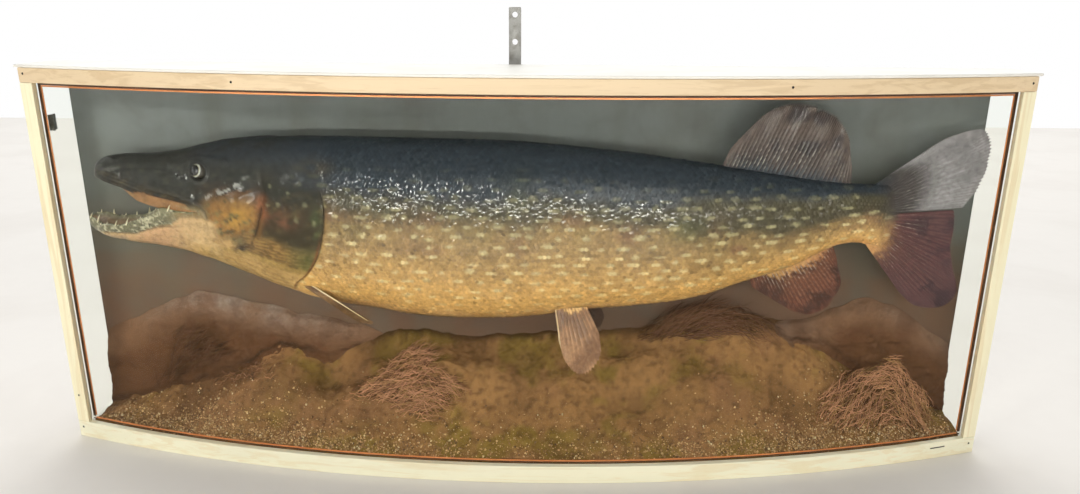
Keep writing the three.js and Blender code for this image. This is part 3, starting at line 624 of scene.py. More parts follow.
def glass_material():
    """Clear glass that lets light through to what stands behind it."""
    material, w, shader = new_material("pane_glass", 0.02, transmission_weight=1.0, ior=1.07)
    w.set(shader["Base Color"], (251, 252, 249))
    nodes = material.node_tree.nodes
    clear = w.put("BsdfTransparent", {0: (251, 252, 250)})
    shadow = w.put("LightPath").outputs["Is Shadow Ray"]
    glassy = nodes["Principled BSDF"].outputs[0]
    choice = w.put("MixShader", {0: shadow, 1: glassy, 2: clear.outputs[0]})
    w.set(nodes["Material Output"].inputs["Surface"], choice.outputs[0])
    return material


# ---------------- camera, light and floor

CAMERA_AT = (0.0473, -0.9912, 0.5837)
CAMERA_DOWN = math.radians(16.55)
CAMERA_TURN = math.radians(-1.31)
CAMERA_ROLL = math.radians(0.40)
SENSOR_WIDTH = 36
FRAME_WIDTH = 1080
FOCAL_PIXELS = 800.7


def make_camera():
    data = bpy.data.cameras.new("camera")
    data.sensor_width = SENSOR_WIDTH
    data.lens = SENSOR_WIDTH * FOCAL_PIXELS / FRAME_WIDTH
    data.clip_start = 0.05
    camera = bpy.data.objects.new("camera", data)
    bpy.context.scene.collection.objects.link(camera)
    level = math.cos(CAMERA_DOWN)
    ahead = Vector((math.sin(CAMERA_TURN) * level, math.cos(CAMERA_TURN) * level, -math.sin(CAMERA_DOWN)))
    right = Vector((math.cos(CAMERA_TURN), -math.sin(CAMERA_TURN), 0))
    up = right.cross(ahead)
    across = right * math.cos(CAMERA_ROLL) + up * math.sin(CAMERA_ROLL)
    above = up * math.cos(CAMERA_ROLL) - right * math.sin(CAMERA_ROLL)
    turned = Matrix((across, above, -ahead)).transposed().to_4x4()
    camera.matrix_world = Matrix.Translation(Vector(CAMERA_AT)) @ turned
    bpy.context.scene.camera = camera


def soft_light(name, at, aim, size, energy, tint=(1, 1, 1)):
    data = bpy.data.lights.new(name, "AREA")
    data.shape = "RECTANGLE"
    data.size, data.size_y = size
    data.energy = energy
    data.color = tint
    light = bpy.data.objects.new(name, data)
    light.location = at
    light.rotation_euler = (Vector(aim) - Vector(at)).to_track_quat("-Z", "Y").to_euler()
    bpy.context.scene.collection.objects.link(light)


def make_studio():
    bpy.context.scene.view_settings.view_transform = "Standard"
    world = bpy.data.worlds.new("studio")
    bpy.context.scene.world = world
    world.use_nodes = True
    w = Wiring(world.node_tree)
    sky = world.node_tree.nodes["Background"]
    # The room is bright behind and above the case and dimmer in front of it.
    direction = w.put("SeparateXYZ", {0: w.put("TexCoord").outputs["Generated"]}).outputs
    brightness = w.between(direction["Y"], -0.7, 0.25)
    w.set(sky.inputs["Color"], w.blend(brightness, (0.14, 0.14, 0.14, 1), (1, 1, 1, 1)))
    sky.inputs["Strength"].default_value = 1.0
    soft_light("key", (-0.1, -1.45, 0.44), (0.0, 0.0, 0.33), (2.6, 0.05), 10, (1.0, 0.98, 0.94))
    soft_light("lamp", (-0.95, -1.3, 0.95), (-0.3, 0.0, 0.35), (0.17, 0.17), 4, (1.0, 0.99, 0.96))
    soft_light("fill", (0.5, -2.2, 1.5), (0.0, 0.0, 0.22), (2.4, 1.2), 11, (1.0, 0.97, 0.93))
    soft_light("wash", (0.0, 3.4, 3.4), (0.0, 1.6, 0.0), (7.0, 3.0), 120)
    material, w, shader = new_material("floor_paint", 0.7)
    parts = placed(w, MOTTLE, Colour=(232, 228, 222), Blotch=(222, 217, 210), Share=0.4,
                   Scale=3.0, Speck=0.03)
    w.set(shader["Base Color"], parts["Colour"])
    side, front, back = 7000, -6000, 3300
    corners = [(-side, front, 0), (side, front, 0), (side, back, 0), (-side, back, 0)]
    mesh = bpy.data.meshes.new("floor")
    mesh.from_pydata((np.array(corners) * MM).tolist(), [], [(0, 1, 2, 3)])
    floor = bpy.data.objects.new("floor", mesh)
    bpy.context.scene.collection.objects.link(floor)
    mesh.materials.append(material)


# ---------------- the case

BEVEL = 0.9
BOW_STATIONS = 81
FLAT_CREASE = 12  # keeps the shading of a wide flat face from turning towards its small bevels
BOARD_EDGE = 0.8
LINE_THICK = 0.6
LINE_BEVEL = 0.12


def box(near, far, low, high):
    """A rectangle of depths and heights."""
    return [(near, low), (near, high), (far, high), (far, low)]


def across_bow(x, shape):
    """An outline of depths and heights, stood across the bow at x."""
    return stack(np.full(len(shape), x), bow_y(x, shape[:, 0]), shape[:, 1])


def upright_bar(side, outline, radius, stations, bevel):
    """A bar that stands on the bow. Its outline is a list of distances from the middle and depths."""
    profile = rounded([(side * x, bow_y(x, inset)) for x, inset in outline], radius)
    return swept(profile, laid_level, stations, bevel)


def laid_level(z, shape):
    return np.column_stack([shape, np.full(len(shape), z)])


def bow_bar(name, outline, half, material, slot, nodes=(), radius=BEVEL):
    """A bar along the bow. Its outline is a list of depths behind the bow and heights."""
    stations = np.linspace(-half, half, BOW_STATIONS)
    bar = swept(rounded(outline, radius), across_bow, stations, radius)
    add_piece(name, *bar, material, slot, nodes, crease=FLAT_CREASE)


def stile(name, side, material):
    seat = OPENING_HALF + GLASS_BITE + GAP
    outline = [(OPENING_HALF, 0), (CASE_HALF, 0), (CASE_HALF, FRAME_DEEP), (seat, FRAME_DEEP), (seat, LIP),
               (OPENING_HALF, LIP)]
    bar = upright_bar(side, outline, BEVEL, np.linspace(BOTTOM_RAIL + GAP, OPENING_TOP - GAP, 3), 0.4)
    add_piece(f"{name}_wood", *bar, material, "ash_frame", [name], crease=FLAT_CREASE)


def bowed_board(name, half, inset, low, high, material):
    """A board whose front follows the bow, with eased edges above and below."""
    rows = []
    for shrink, z in ((BOARD_EDGE, low), (0, low + BOARD_EDGE), (0, high - BOARD_EDGE), (BOARD_EDGE, high)):
        reach, back = half - shrink, BOARD_REAR - shrink
        xs = np.linspace(-reach, reach, BOW_STATIONS)
        rows.append(laid_level(z, [*zip(xs, bow_y(xs, inset + shrink)), (reach, back), (-reach, back)]))
    faces = barrel(len(rows), len(rows[0]))
    add_piece(f"{name}_board", np.concatenate(rows), faces, material, "white_paint", [name])


def finish_node(node, material):
    """Gives a solid that stays in view a better material."""
    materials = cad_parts[node].data.materials
    materials.clear()
    materials.append(material)


def make_case():
    # One ash at three brightnesses: the bottom rail's is lightened as painted light and the top rail's
    # darkened as painted shade, with the stiles' in between.
    ash = wooden("ash_lengthways_painted_light", (254, 250, 220), (240, 220, 172), 0.42, 0.36, coat_weight=0.2)
    ash_top_painted_shade = wooden("ash_top_painted_shade", (236, 212, 174), (206, 176, 132), 0.42, 0.4, coat_weight=0.15)
    ash_upright = wooden("ash_upright", (252, 244, 208), (232, 208, 158), 0.42, 0.36, 1.0,
                         coat_weight=0.2)
    white = mottled("white_paint", (244, 242, 234), (226, 221, 208), 0.45, 0.35, 12.0, 0.05,
                    0.15, 0.1)
    plain = wooden("deal_board", (168, 140, 98), (112, 84, 52), 0.6, 0.75)
    low = [(0, 0), (0, BOTTOM_RAIL), (LIP, BOTTOM_RAIL), (LIP, BOTTOM_SEAT), (FRAME_DEEP, BOTTOM_SEAT),
           (FRAME_DEEP, 0)]
    bow_bar("rail_bottom_wood", low, CASE_HALF, ash, "ash_frame", ["rail_bottom"])
    seat = CASE_HEIGHT - TOP_SEAT
    high = [(0, OPENING_TOP), (0, CASE_HEIGHT), (FRAME_DEEP, CASE_HEIGHT), (FRAME_DEEP, seat), (LIP, seat),
            (LIP, OPENING_TOP)]
    bow_bar("rail_top_wood", high, CASE_HALF, ash_top_painted_shade, "ash_frame", ["rail_top"])
    stile("stile_left", -1, ash_upright)
    stile("stile_right", 1, ash_upright)
    bowed_board("case_lid", CASE_HALF + LID_OVERHANG, 0, LID_LOW, LID_LOW + LID_THICK, white)
    bowed_board("case_base", CASE_HALF, FRAME_DEEP + GAP, 0, BASE_THICK, white)

    glass = glass_material()
    pane = box(GLASS_IN, GLASS_IN + GLASS_THICK, BOTTOM_SEAT + GAP, seat - GAP)
    bow_bar("front_pane", pane, OPENING_HALF + GLASS_BITE, glass, "glass", ["glass_front"], 0.3)
    make_lines()
    finish_node("backboard", painted_board())
    for node in ("glass_left", "glass_right"):
        finish_node(node, glass)
    for node in ("cleat_left", "cleat_right"):
        finish_node(node, white)
    for node in ("batten_left", "batten_right", "mount_block_front", "mount_block_rear"):
        finish_node(node, plain)
    make_fittings()


def make_lines():
    """Behind the glass, a dark stopping closes the rebate and a gilt line runs beside it. The stopping's dark
    is also painted shade along the inner edge of the frame.
    """
    stopping = mottled("stopping_and_edge_shade", (86, 56, 34), (52, 34, 22), 0.6, 0.5, 40.0, 0.2, 0.3, 0.1)
    gilt = mottled("gilt_line", (214, 138, 84), (190, 112, 62), 0.38, 0.5, 30.0, 0.15, 0.2, 0.05,
                   metallic=0.35)
    front = GLASS_IN + GLASS_THICK + 0.2
    back = front + LINE_THICK
    # The edges of each line lie near and far from the edge of the opening.
    for name, near, far, material, slot in (("stopping", -1.0, 3.4, stopping, "plain_board"),
                                            ("gilt", 3.6, 5.6, gilt, "ash_frame")):
        low = BOTTOM_RAIL + far - 2.8
        heights = {"low": (max(low - 2.2, BOTTOM_RAIL - 1), low),
                   "high": (OPENING_TOP - far, OPENING_TOP - near)}
        for place, (under, over) in heights.items():
            bow_bar(f"{name}_{place}", box(front, back, under, over), OPENING_HALF - near, material, slot,
                    radius=LINE_BEVEL)
        inner, outer = OPENING_HALF - far, OPENING_HALF - near
        outline = [(inner, front), (outer, front), (outer, back), (inner, back)]
        stations = np.array([BOTTOM_RAIL + far + 0.05, CASE_HEIGHT / 2, OPENING_TOP - far - 0.05])
        for place, side in (("left", -1), ("right", 1)):
            bar = upright_bar(side, outline, LINE_BEVEL, stations, LINE_BEVEL)
            add_piece(f"{name}_{place}", *bar, material, slot)


def painted_board():
    """Water painted on the backboard: grey-green above, brown below, with soft brushed clouds."""
    material, w, shader = new_material("painted_water", 0.62)
    here = w.here()
    height = w.put("SeparateXYZ", {0: here}).outputs["Z"]
    clouds = w.grain(w.stretched(here, (2.2, 1, 5.5)), 1.6, 4.0, 0.55, 0.5)
    streaks = w.grain(w.stretched(here, (9, 1, 1.2)), 2.0, 3.0, 0.5)
    lifted = w.plus(height, w.times(w.math("SUBTRACT", clouds, 0.5), 0.22))
    ramp = w.put("ValToRGB", {0: w.between(lifted, 0.02, 0.5)})
    stops = ((0.0, (90, 62, 40)), (0.3, (98, 72, 50)), (0.52, (94, 86, 72)),
             (0.72, (104, 108, 102)), (1.0, (116, 122, 121)))
    while len(ramp.color_ramp.elements) < len(stops):
        ramp.color_ramp.elements.new(0.5)
    for element, (at, shade) in zip(ramp.color_ramp.elements, stops):
        element.position = at
        element.color = (*colour(*shade), 1)
    tinted = w.blend(w.between(streaks, 0.45, 0.75, 0.0, 0.35), ramp.outputs[0], (84, 84, 68))
    parts = placed(w, MOTTLE, Colour=tinted, Blotch=(76, 74, 66), Share=0.3, Scale=14.0, Speck=0.12)
    w.set(shader["Base Color"], parts["Colour"])
    bump(w, shader, parts["Height"], 0.2, 0.3)
    return material


def make_fittings():
    """The strap with its screws, the clip on the side pane, and the pins and catch of the frame."""
    steel = mottled("dull_steel", (150, 150, 146), (92, 86, 78), 0.42, 0.5, 90.0, 0.2, 0.3, 0.1,
                    metallic=0.85)
    dark = mottled("dark_iron", (44, 38, 32), (24, 20, 17), 0.5, 0.5, 90.0, 0.2, 0.3, 0.1,
                   metallic=0.4)
    make_strap(steel)
    finish_node("glazing_clip", steel)
    for k, (x, z) in enumerate(FRAME_PINS):
        screw_head(f"frame_pin_{k + 1}", (x, bow_y(x, 0), z), 1.5, 0.35, -1, dark)

    def climbing(x, shape):
        return across_bow(x, shape - (0.3, 0)) + (0, 0, CATCH["slope"] * (x - CATCH["from"]))

    outline = rounded(box(0, CATCH["deep"], CATCH["low"], CATCH["high"]), 0.1)
    stations = np.linspace(CATCH["from"], CATCH["to"], 7)
    add_piece("catch_slot", *swept(outline, climbing, stations, 0.1), dark, "steel")


def make_strap(steel):
    """The hanging strap: a cranked plate with two holes in its upper part, and the screws that hold it."""
    s = STRAP
    levels = (s["foot"], s["crank"] - s["bend"], s["crank"] + s["bend"], s["top"])
    set_back = s["rear"] - s["thick"]
    depths = (s["front"], s["front"], set_back, set_back)
    half, cut, radius = s["width"] / 2, STRAP_CORNER, STRAP_HOLE / 2
    low, high = levels[2:]
    loops = [[(-half, low), (half, low), (half, high - cut), (half - cut, high), (cut - half, high),
              (-half, high - cut)]]
    loops += [[(radius * math.cos(a), z + radius * math.sin(a)) for a in turns(32)] for z in STRAP_HOLES]
    flat = [p for loop in loops for p in loop] + [(side * half, z) for z in levels[1::-1] for side in (-1, 1)]
    cells = tessellate_polygon([[Vector((x, z, 0)) for x, z in loop] for loop in loops])
    last = len(flat)
    cells += [(last - 4, last - 3, 1, 0), (last - 2, last - 1, last - 3, last - 4)]
    bent = plate(np.array(flat), cells, levels, depths, s["thick"], s["at"])
    add_piece("strap_plate", *bent, steel, "steel", ["hanging_strap"], crease=25)
    for k, rise in enumerate(STRAP_SCREWS):
        at = (s["at"], s["front"] + s["thick"], s["foot"] + rise)
        screw_head(f"strap_screw_{k + 1}", at, 3.6, 1.6, 1, steel)


def plate(flat, cells, levels, depths, thick, at):
    """A closed cranked plate from flat cells of x and z, set back by the depth of each level."""
    front = np.column_stack([at + flat[:, 0], np.interp(flat[:, 1], levels, depths), flat[:, 1]])
    count = len(flat)
    faces = []
    for cell in cells:
        corners = flat[list(cell)]
        ahead = np.roll(corners, -1, axis=0)
        area = np.sum(corners[:, 0] * ahead[:, 1] - ahead[:, 0] * corners[:, 1])
        faces.append(list(cell) if area > 0 else list(cell)[::-1])
    edges = {(a, b) for face in faces for a, b in zip(face, face[1:] + face[:1])}
    walls = [[b, a, a + count, b + count] for a, b in sorted(edges) if (b, a) not in edges]
    back = [[corner + count for corner in face[::-1]] for face in faces]
    return np.concatenate([front, front + (0, thick, 0)]), faces + back + walls


def screw_head(name, at, radius, high, facing, material):
    """A domed head with a slot, facing along Y."""
    rings = [(1.0, 0.0), (1.0, 0.35), (0.86, 0.75), (0.55, 0.95), (0.2, 1.0)]
    sides = 24
    points = []
    for share, rise in rings:
        for a in turns(sides):
            x, z = radius * share * math.cos(a), radius * share * math.sin(a)
            slot = 0.45 * high if abs(z) < radius * 0.16 and share < 0.9 else 0
            points.append((at[0] + x, at[1] + facing * (high * rise - slot), at[2] + z))
    last = len(points)
    points.append((at[0], at[1] + facing * high * 0.55, at[2]))
    points.append((at[0], at[1] - facing * 0.3, at[2]))
    faces = [*grid(len(rings), sides, closed=True), *fan(range(last - sides, last), last),
             *fan(range(sides)[::-1], last + 1)]
    if facing > 0:
        faces = [face[::-1] for face in faces]
    add_piece(name, points, faces, material, "steel")


# ---------------- the groundwork


def ground_height(x, y):
    front = bow_y(x, GROUND_INSET)
    t = (y - front) / (BOARD_FACE - front)
    z = mix(GROUND_FRONT, along(CREST, x), t * (0.7 + 0.3 * t))
    for at_x, at_y, reach_x, reach_y, high in MOUNDS:
        z = z + high * np.exp(-((x - at_x) / reach_x) ** 2 - ((y - at_y) / reach_y) ** 2)
    return z


def ground_top(x, y):
    """Height of the finished ground, with its lumps, ledges and moss."""
    z = ground_height(x, y)
    here = stack(x, y, 0 * x)
    back = smooth(-60, 60, y)
    z = z + 5.0 * rough(here, 70, 11) * (0.4 + back)
    ledges = rough(here * (1, 1.6, 1), 46, 23, 2)
    z = z + 4.0 * np.round(ledges * 2.2) / 2.2 * back * smooth(0.1, 0.5, noise(here, 160, 5) + 0.3)
    return z + 1.3 * rough(here, 9, 31) + 0.5 * noise(here, 3, 37)


def make_ground():
    columns, rows = 520, 90
    x = np.linspace(-GROUND_HALF, GROUND_HALF, columns)[None, :].repeat(rows, 0)
    t = np.linspace(0, 1, rows)[:, None]
    y = mix(bow_y(x, GROUND_INSET), BOARD_FACE - GAP, t)
    top = stack(x, y, ground_top(x, y)).reshape(-1, 3)
    rim = np.array(border(rows, columns))
    foot = top[rim]
    foot[:, 2] = GROUND_LOW
    points = np.concatenate([top, foot])
    base, count = len(top), len(rim)
    step = np.arange(count)
    wall = stack(rim, base + step, base + (step + 1) % count, np.roll(rim, -1))
    faces = [*grid(rows, columns), *wall, list(range(base, base + count))[::-1]]
    moss = smooth(-0.1, 0.7, rough(points, 60, 41) + 0.5 * noise(points, 14, 43))
    pink = smooth(0.0, 0.8, rough(points, 90, 47) - 0.1 + 0.5 * smooth(-250, -480, points[:, 0]))
    grit = smooth(0.1, 0.7, noise(points, 7, 53) + 0.4 * noise(points, 3, 59))
    # Painted shade: the hollows that sink below the ground's broad shape are darkened, and so is the ground
    # where it meets the backboard.
    deep = smooth(6, -12, points[:, 2] - ground_height(points[:, 0], points[:, 1]))
    edge = bell(BOARD_FACE - points[:, 1], 7)
    tone = painted((146, 110, 70), (134, 110, 54), moss)
    tone = painted(tone, (142, 104, 74), 0.6 * pink)
    tone = painted(tone, (90, 64, 38), 0.5 * grit)
    tone = painted(tone, (62, 44, 28), 0.6 * deep)
    tone = painted(tone, (52, 36, 24), 0.8 * edge)
    earth = toned("painted_earth", 0.9, 0.35, 70.0, 0.5, 0.6, 1.2, (86, 62, 36), specular_ior_level=0.1)
    add_piece("ground_bank", points, faces, earth, "groundwork", ["groundwork"], tone, crease=80)
    make_rocks()
    make_gravel()
    make_weeds()


def make_rocks():
    stone = toned("painted_rock", 0.9, 0.35, 45.0, 0.7, 0.7, 1.2, (74, 52, 38), specular_ior_level=0.1)
    columns, rows = 190, 60
    size = rows * columns
    rim = np.array(border(rows, columns))
    ahead = np.roll(rim, -1)
    faces = [*grid(rows, columns), *grid(rows, columns, size)[:, ::-1],
             *stack(rim, size + rim, size + ahead, ahead)]
    for name, outline in ROCKS.items():
        first, last = max(outline[0][0], -GROUND_HALF), min(outline[-1][0], GROUND_HALF)
        x = np.linspace(first, last, columns)[None, :].repeat(rows, 0)
        t = np.linspace(0, 1, rows)[:, None]
        # Each rock thins out towards its end in the middle of the case.
        thinned = smooth(0, 90, last - x) if name == "rock_left" else smooth(0, 50, x - first)
        crest = along(outline, x) + 2.5 * noise(stack(x, 0 * x, 0 * x), 18, 61) - 1.5
        foot = ground_height(x, np.full_like(x, BOARD_FACE)) - 30
        z = mix(foot, crest, t)
        seen = stack(x, 0 * x, z * 1.5)
        lumps = 5 * rough(seen, 60, 67) + 2.6 * rough(seen, 16, 71) + 0.9 * noise(seen, 5, 75)
        shelf = 3.5 * np.round(2.0 * rough(seen * (0.6, 1, 1), 48, 73, 2)) / 2.0
        deep = mix(ROCK_FOOT, ROCK_EDGE, t ** 1.6) + (lumps + shelf) * smooth(1.0, 0.55, t)
        y = BOARD_FACE - 0.3 - np.maximum(deep * thinned, 0.6) * smooth(1.03, 0.9, t) - 0.5
        face = stack(x, y, z).reshape(-1, 3)
        back = face.copy()
        back[:, 1] = BOARD_FACE - 0.4
        points = np.concatenate([face, back])
        above = points[:, 2] - ground_top(points[:, 0], np.full(len(points), BOARD_FACE - 12))
        below = along(outline, points[:, 0]) - points[:, 2]
        cloudy = rough(points, 60, 79)
        # Painted light: a pale band lies along the crest of the rock, and the face grows darker further below
        # it.
        pale = bell(below, 24) * smooth(-0.6, 0.4, cloudy) * (0.3 + 0.7 * bell(points[:, 0] + 400, 80))
        pale = pale * (0.8 + 0.3 * noise(points, 5, 85))
        # Painted shade, in broken patches, where the rock meets the ground.
        broken = 0.35 + 0.65 * smooth(-0.5, 0.5, noise(points, 26, 91))
        foot_shade = broken * bell(above - 2.5 * noise(points, 12, 89), 4)
        tone = painted((114, 85, 62), (92, 64, 42), smooth(14, 62, below + 10 * cloudy))
        tone = painted(tone, (146, 132, 122), pale)
        tone = painted(tone, (92, 62, 42), 0.5 * smooth(0.0, 0.8, noise(points, 30, 87)))
        tone = painted(tone, (48, 33, 24), 0.7 * foot_shade)
        add_piece(f"{name}_face", points, faces, stone, "rock", [name], tone, crease=80)


def pebble_shape():
    """A small closed stone: two rings of five points and two caps."""
    points = [(0, 0, 1.0)]
    for z, r in ((0.45, 0.85), (-0.4, 0.9)):
        points += [(r * math.cos(a + z), r * math.sin(a + z), z) for a in turns(5)]
    points.append((0, 0, -0.9))
    faces = [*fan(range(1, 6), 0).tolist(), *fan(range(10, 5, -1), 11).tolist()]
    for k in range(5):
        n = (k + 1) % 5
        faces += [(1 + k, 6 + k, 1 + n), (1 + n, 6 + k, 6 + n)]
    return np.array(points), np.array(faces)


# The colours of the small stones and how common each is.
STONES = {
    (206, 176, 130): 0.16, (170, 138, 96): 0.24, (144, 110, 74): 0.26, (190, 154, 114): 0.14,
    (104, 78, 54): 0.15, (216, 200, 164): 0.05,
}


def make_gravel():
    """Small stones along the front, thickest in the left third and at the right."""
    rng = np.random.default_rng(101)
    wanted = 9500
    x = rng.uniform(-598, 598, wanted * 4)
    depth = rng.gamma(1.5, 13, wanted * 4)
    patchy = noise(stack(x, depth, 0 * x), 50, 103)
    dense = 0.25 + 0.75 * (bell(x + 400, 190) + bell(x - 430, 170)) + 0.15 * patchy
    keep = (rng.uniform(0, 1, len(x)) < dense) & (depth < 120)
    x, depth = x[keep][:wanted], depth[keep][:wanted]
    y = bow_y(x, GROUND_INSET) + 1.5 + depth
    keep = y < BOARD_FACE - 4
    x, y = x[keep], y[keep]
    size = np.minimum(rng.gamma(3.0, 0.30, len(x)) + 0.5, 2.5)
    shape, faces = pebble_shape()
    turn = rng.uniform(0, FULL_TURN, len(x))
    squash = rng.uniform(0.5, 0.9, (len(x), 3)) * size[:, None]
    local = shape[None] * squash[:, None] + rng.normal(0, 0.08, (len(x), len(shape), 3)) * size[:, None, None]
    c, s = np.cos(turn)[:, None], np.sin(turn)[:, None]
    lx, ly, lz = np.moveaxis(local, -1, 0)
    rolled = stack(c * lx - s * ly, s * lx + c * ly, lz)
    centre = stack(x, y, ground_top(x, y) + 0.25 * size)
    points = (rolled + centre[:, None]).reshape(-1, 3)
    every = (faces[None] + (np.arange(len(x)) * len(shape))[:, None, None]).reshape(-1, 3)
    kinds = np.array([colour(*shade) for shade in STONES])
    picked = kinds[rng.choice(len(kinds), len(x), p=list(STONES.values()))]
    tone = (picked * rng.uniform(0.75, 1.15, (len(x), 1))).repeat(len(shape), 0)
    grit = toned("grit", 0.7, 0.2, 200.0, 0.3, 0.2, 0.2, (80, 60, 40), specular_ior_level=0.2)
    add_piece("gravel", points, every, grit, "groundwork", tone=np.clip(tone, 0, 1), crease=50)


def inside(x, z, outline):
    """Which of the points lie inside a closed outline."""
    within = np.zeros(len(x), bool)
    for (ax, az), (bx, bz) in zip(outline, outline[1:] + outline[:1]):
        crosses = (az > z) != (bz > z)
        within ^= crosses & (x < ax + (z - az) * (bx - ax) / (bz - az + 1e-9))
    return within


def slope_y(x, z, back):
    """How far back the ground reaches the height z, or the given limit if it never does."""
    t = np.linspace(0, 1, 50).reshape(-1, *[1] * x.ndim)
    y = mix(bow_y(x, GROUND_INSET), back, t)
    reached = ground_height(x + 0 * y, y) >= z
    first = np.argmax(reached, 0)
    met = np.take_along_axis(y, first[None], 0)[0]
    return np.where(reached.any(0), met, back)


def tubes(lines, sides):
    """Closed thin tubes round centre lines, as one mesh. Each line comes with its radii."""
    askew = (0.31, 0.87, 0.2)  # a direction that no line follows
    ring = stack(np.cos(turns(sides)), np.sin(turns(sides)))
    points, faces, start = [], [], 0
    for line, radii in lines:
        ahead = unit(np.gradient(line, axis=0))
        side = unit(np.cross(ahead, askew))
        up = np.cross(side, ahead)
        round_line = ring[None, :, :1] * side[:, None] + ring[None, :, 1:] * up[:, None]
        points.append((line[:, None] + radii[:, None, None] * round_line).reshape(-1, 3))
        faces += barrel(len(line), sides, start)
        start += len(line) * sides
    return np.concatenate(points), faces


def make_weeds():
    """Mats of fine wavy dried weed: strands fall away from a ridge, the deeper ones darker as painted shade
    within the mat.
    """
    dry = toned("dry_weed", 0.8, 0.25, 160.0, 0.4, 0.3, 0.3, (80, 52, 34), specular_ior_level=0.15)
    steps, sides = 9, 3
    for number, (name, (outline, ridge, left, right, soft, count, long, deep)) in enumerate(WEEDS.items()):
        rng = np.random.default_rng(300 + number)
        low, high = np.min(outline, 0), np.max(outline, 0)
        x, z = (rng.uniform(a, b, count * 6) for a, b in zip(low, high))
        keep = inside(x, z, outline)
        x, z = x[keep][:count], z[keep][:count]
        layer = rng.uniform(0, 1, len(x)) ** 0.8
        slope = mix(left, right, smooth(ridge - soft, ridge + soft, x)) + rng.normal(0, 14, len(x))
        angle = np.radians(slope)[:, None]
        reach = (long * rng.uniform(0.6, 1.2, len(x)))[:, None]
        s = np.linspace(0, 1, steps)[None, :]
        bend = 0.12 * reach * np.sin(math.pi * s) * rng.normal(0, 1, len(x))[:, None]
        wave = 0.9 * np.sin(reach * s * 0.9 + rng.uniform(0, 6, len(x))[:, None]) * smooth(0, 0.2, s)
        across = bend + wave
        line_x = x[:, None] + np.cos(angle) * reach * (s - 0.3) - np.sin(angle) * across
        line_z = z[:, None] + np.sin(angle) * reach * (s - 0.3) + np.cos(angle) * across
        lift = 1.5 + deep * layer[:, None] + 2.0 * np.sin(math.pi * s)
        back = BOARD_FACE - (26 if name in ("weed_left", "weed_right") else 12)
        line_y = slope_y(line_x, line_z, back) - lift
        line_y = np.clip(line_y, bow_y(line_x, GROUND_INSET) + 2, BOARD_FACE - 3)
        # The slope is followed softly, so that no strand has a corner in it.
        for _ in range(3):
            line_y[:, 1:-1] = (line_y[:, :-2] + 2 * line_y[:, 1:-1] + line_y[:, 2:]) / 4
        line_x = np.clip(line_x, -GROUND_HALF + 8, GROUND_HALF - 8)
        thick = rng.uniform(0.36, 0.62, len(x))
        taper = (1 - 0.7 * s[0] ** 2)
        lines = [(np.stack(part, -1), width * taper) for *part, width in zip(line_x, line_y, line_z, thick)]
        points, faces = tubes(lines, sides)
        # Painted shade: strands that lie deeper in a mat are darker than the outer ones.
        shades = painted((70, 44, 26), (186, 136, 102), smooth(0.25, 0.95, layer))
        shades = painted(shades, (148, 120, 68), 0.7 * smooth(0.0, 0.6, rng.normal(-0.1, 0.5, len(x))))
        shades = shades * rng.uniform(0.72, 1.18, (len(x), 1))
        if name in ("weed_back", "weed_left"):
            shades = painted(shades, (50, 29, 16), 0.74)
        if name == "weed_small":
            shades = 0.8 * shades
        tone = np.clip(shades.repeat(steps * sides, 0), 0.003, 1)
        add_piece(f"{name}_strands", points, faces, dry, "dried_weed", [name], tone, crease=70)


# ---------------- the fish's form

RING = 240  # points round the body; the first is on the back, a quarter on is the near side
QUARTER = RING // 4
GILL_X = -250  # where the grid's own row meets the gill edge
GILL_REACH = 110


def gill_edge_x(z):
    falling = sorted((-height, x) for x, height in GILL_EDGE)
    return along(falling, -np.asarray(z, float))


def outline_values(x, part):
    """Top, lowest point, half width, widest level and the powers of the section at x."""
    if part == "bill":
        top, wide, half = (along(BILL, x, k) for k in (1, 2, 3))
        return top, wide, half, wide, BILL_POWER, LOWER_POWER
    if part == "jaw":
        wide, low, half = (along(JAW, x, k) for k in (1, 2, 3))
        return wide, low, half, wide, UPPER_POWER, JAW_POWER
    top, low, half, level = (along(BODY, x, k) for k in (1, 2, 3, 4))
    past = np.clip((x - TAIL_END + 6) / (SKIN_END - TAIL_END + 6), 0, 1)
    half = half * mix(1, 0.17, smooth(0, 1, past ** 0.8))
    low, top = low + 9 * past ** 2, top - 6 * past ** 2
    near = smooth(MOUTH_CORNER + 45, MOUTH_CORNER, x)
    return (top, low, half, mix(low, top, level), mix(UPPER_POWER, BILL_POWER, near),
            mix(LOWER_POWER, JAW_POWER, near))


def section(x, a, part="body"):
    """Point of the full outline at x and the angle a, which runs from the back over the near side."""
    x, a = np.broadcast_arrays(np.asarray(x, float), np.asarray(a, float))
    top, low, half, wide, upper, lower = outline_values(x, part)
    above = np.cos(a) >= -1e-9
    side = power(np.sin(a), np.where(above, upper, lower))
    rise = np.where(above, top - wide, wide - low) * power(np.cos(a), np.where(above, upper, lower))
    return stack(x, middle_y(x) - half * side, wide + rise)


def body_level(x, z):
    """Height on the body, from 0 at the belly to 1 at the back."""
    low = along(BODY, x, 2)
    return (z - low) / (along(BODY, x, 1) - low)


def throat_depth(x, z):
    """Share of the way down from the foot of the gill cover to the belly."""
    belly = np.where(x < MOUTH_CORNER, along(JAW, x, 2), along(BODY, x, 2))
    foot = along(COVER_FOOT, x)
    return (foot - z) / np.maximum(foot - belly, 1)


def throat_folds(points, depth):
    """Folds of the skin over the gill rays, from -1 to 1."""
    return np.sin(FULL_TURN * (6.5 * depth + 0.3 * noise(points, 30, 223)))


def over_lip(x, z):
    return z - along(BILL, np.minimum(x, MOUTH_CORNER), 2)


def lip_line(points, height):
    """One of the wavy grooves that run along the upper lip at a height over it, from 0 to 1."""
    return bell(over_lip(*side_view(points)) - height - 1.2 * noise(points, 26, 241), 1.2)


def from_eye(x, z):
    return np.hypot(x - EYE["x"], z - EYE["z"])


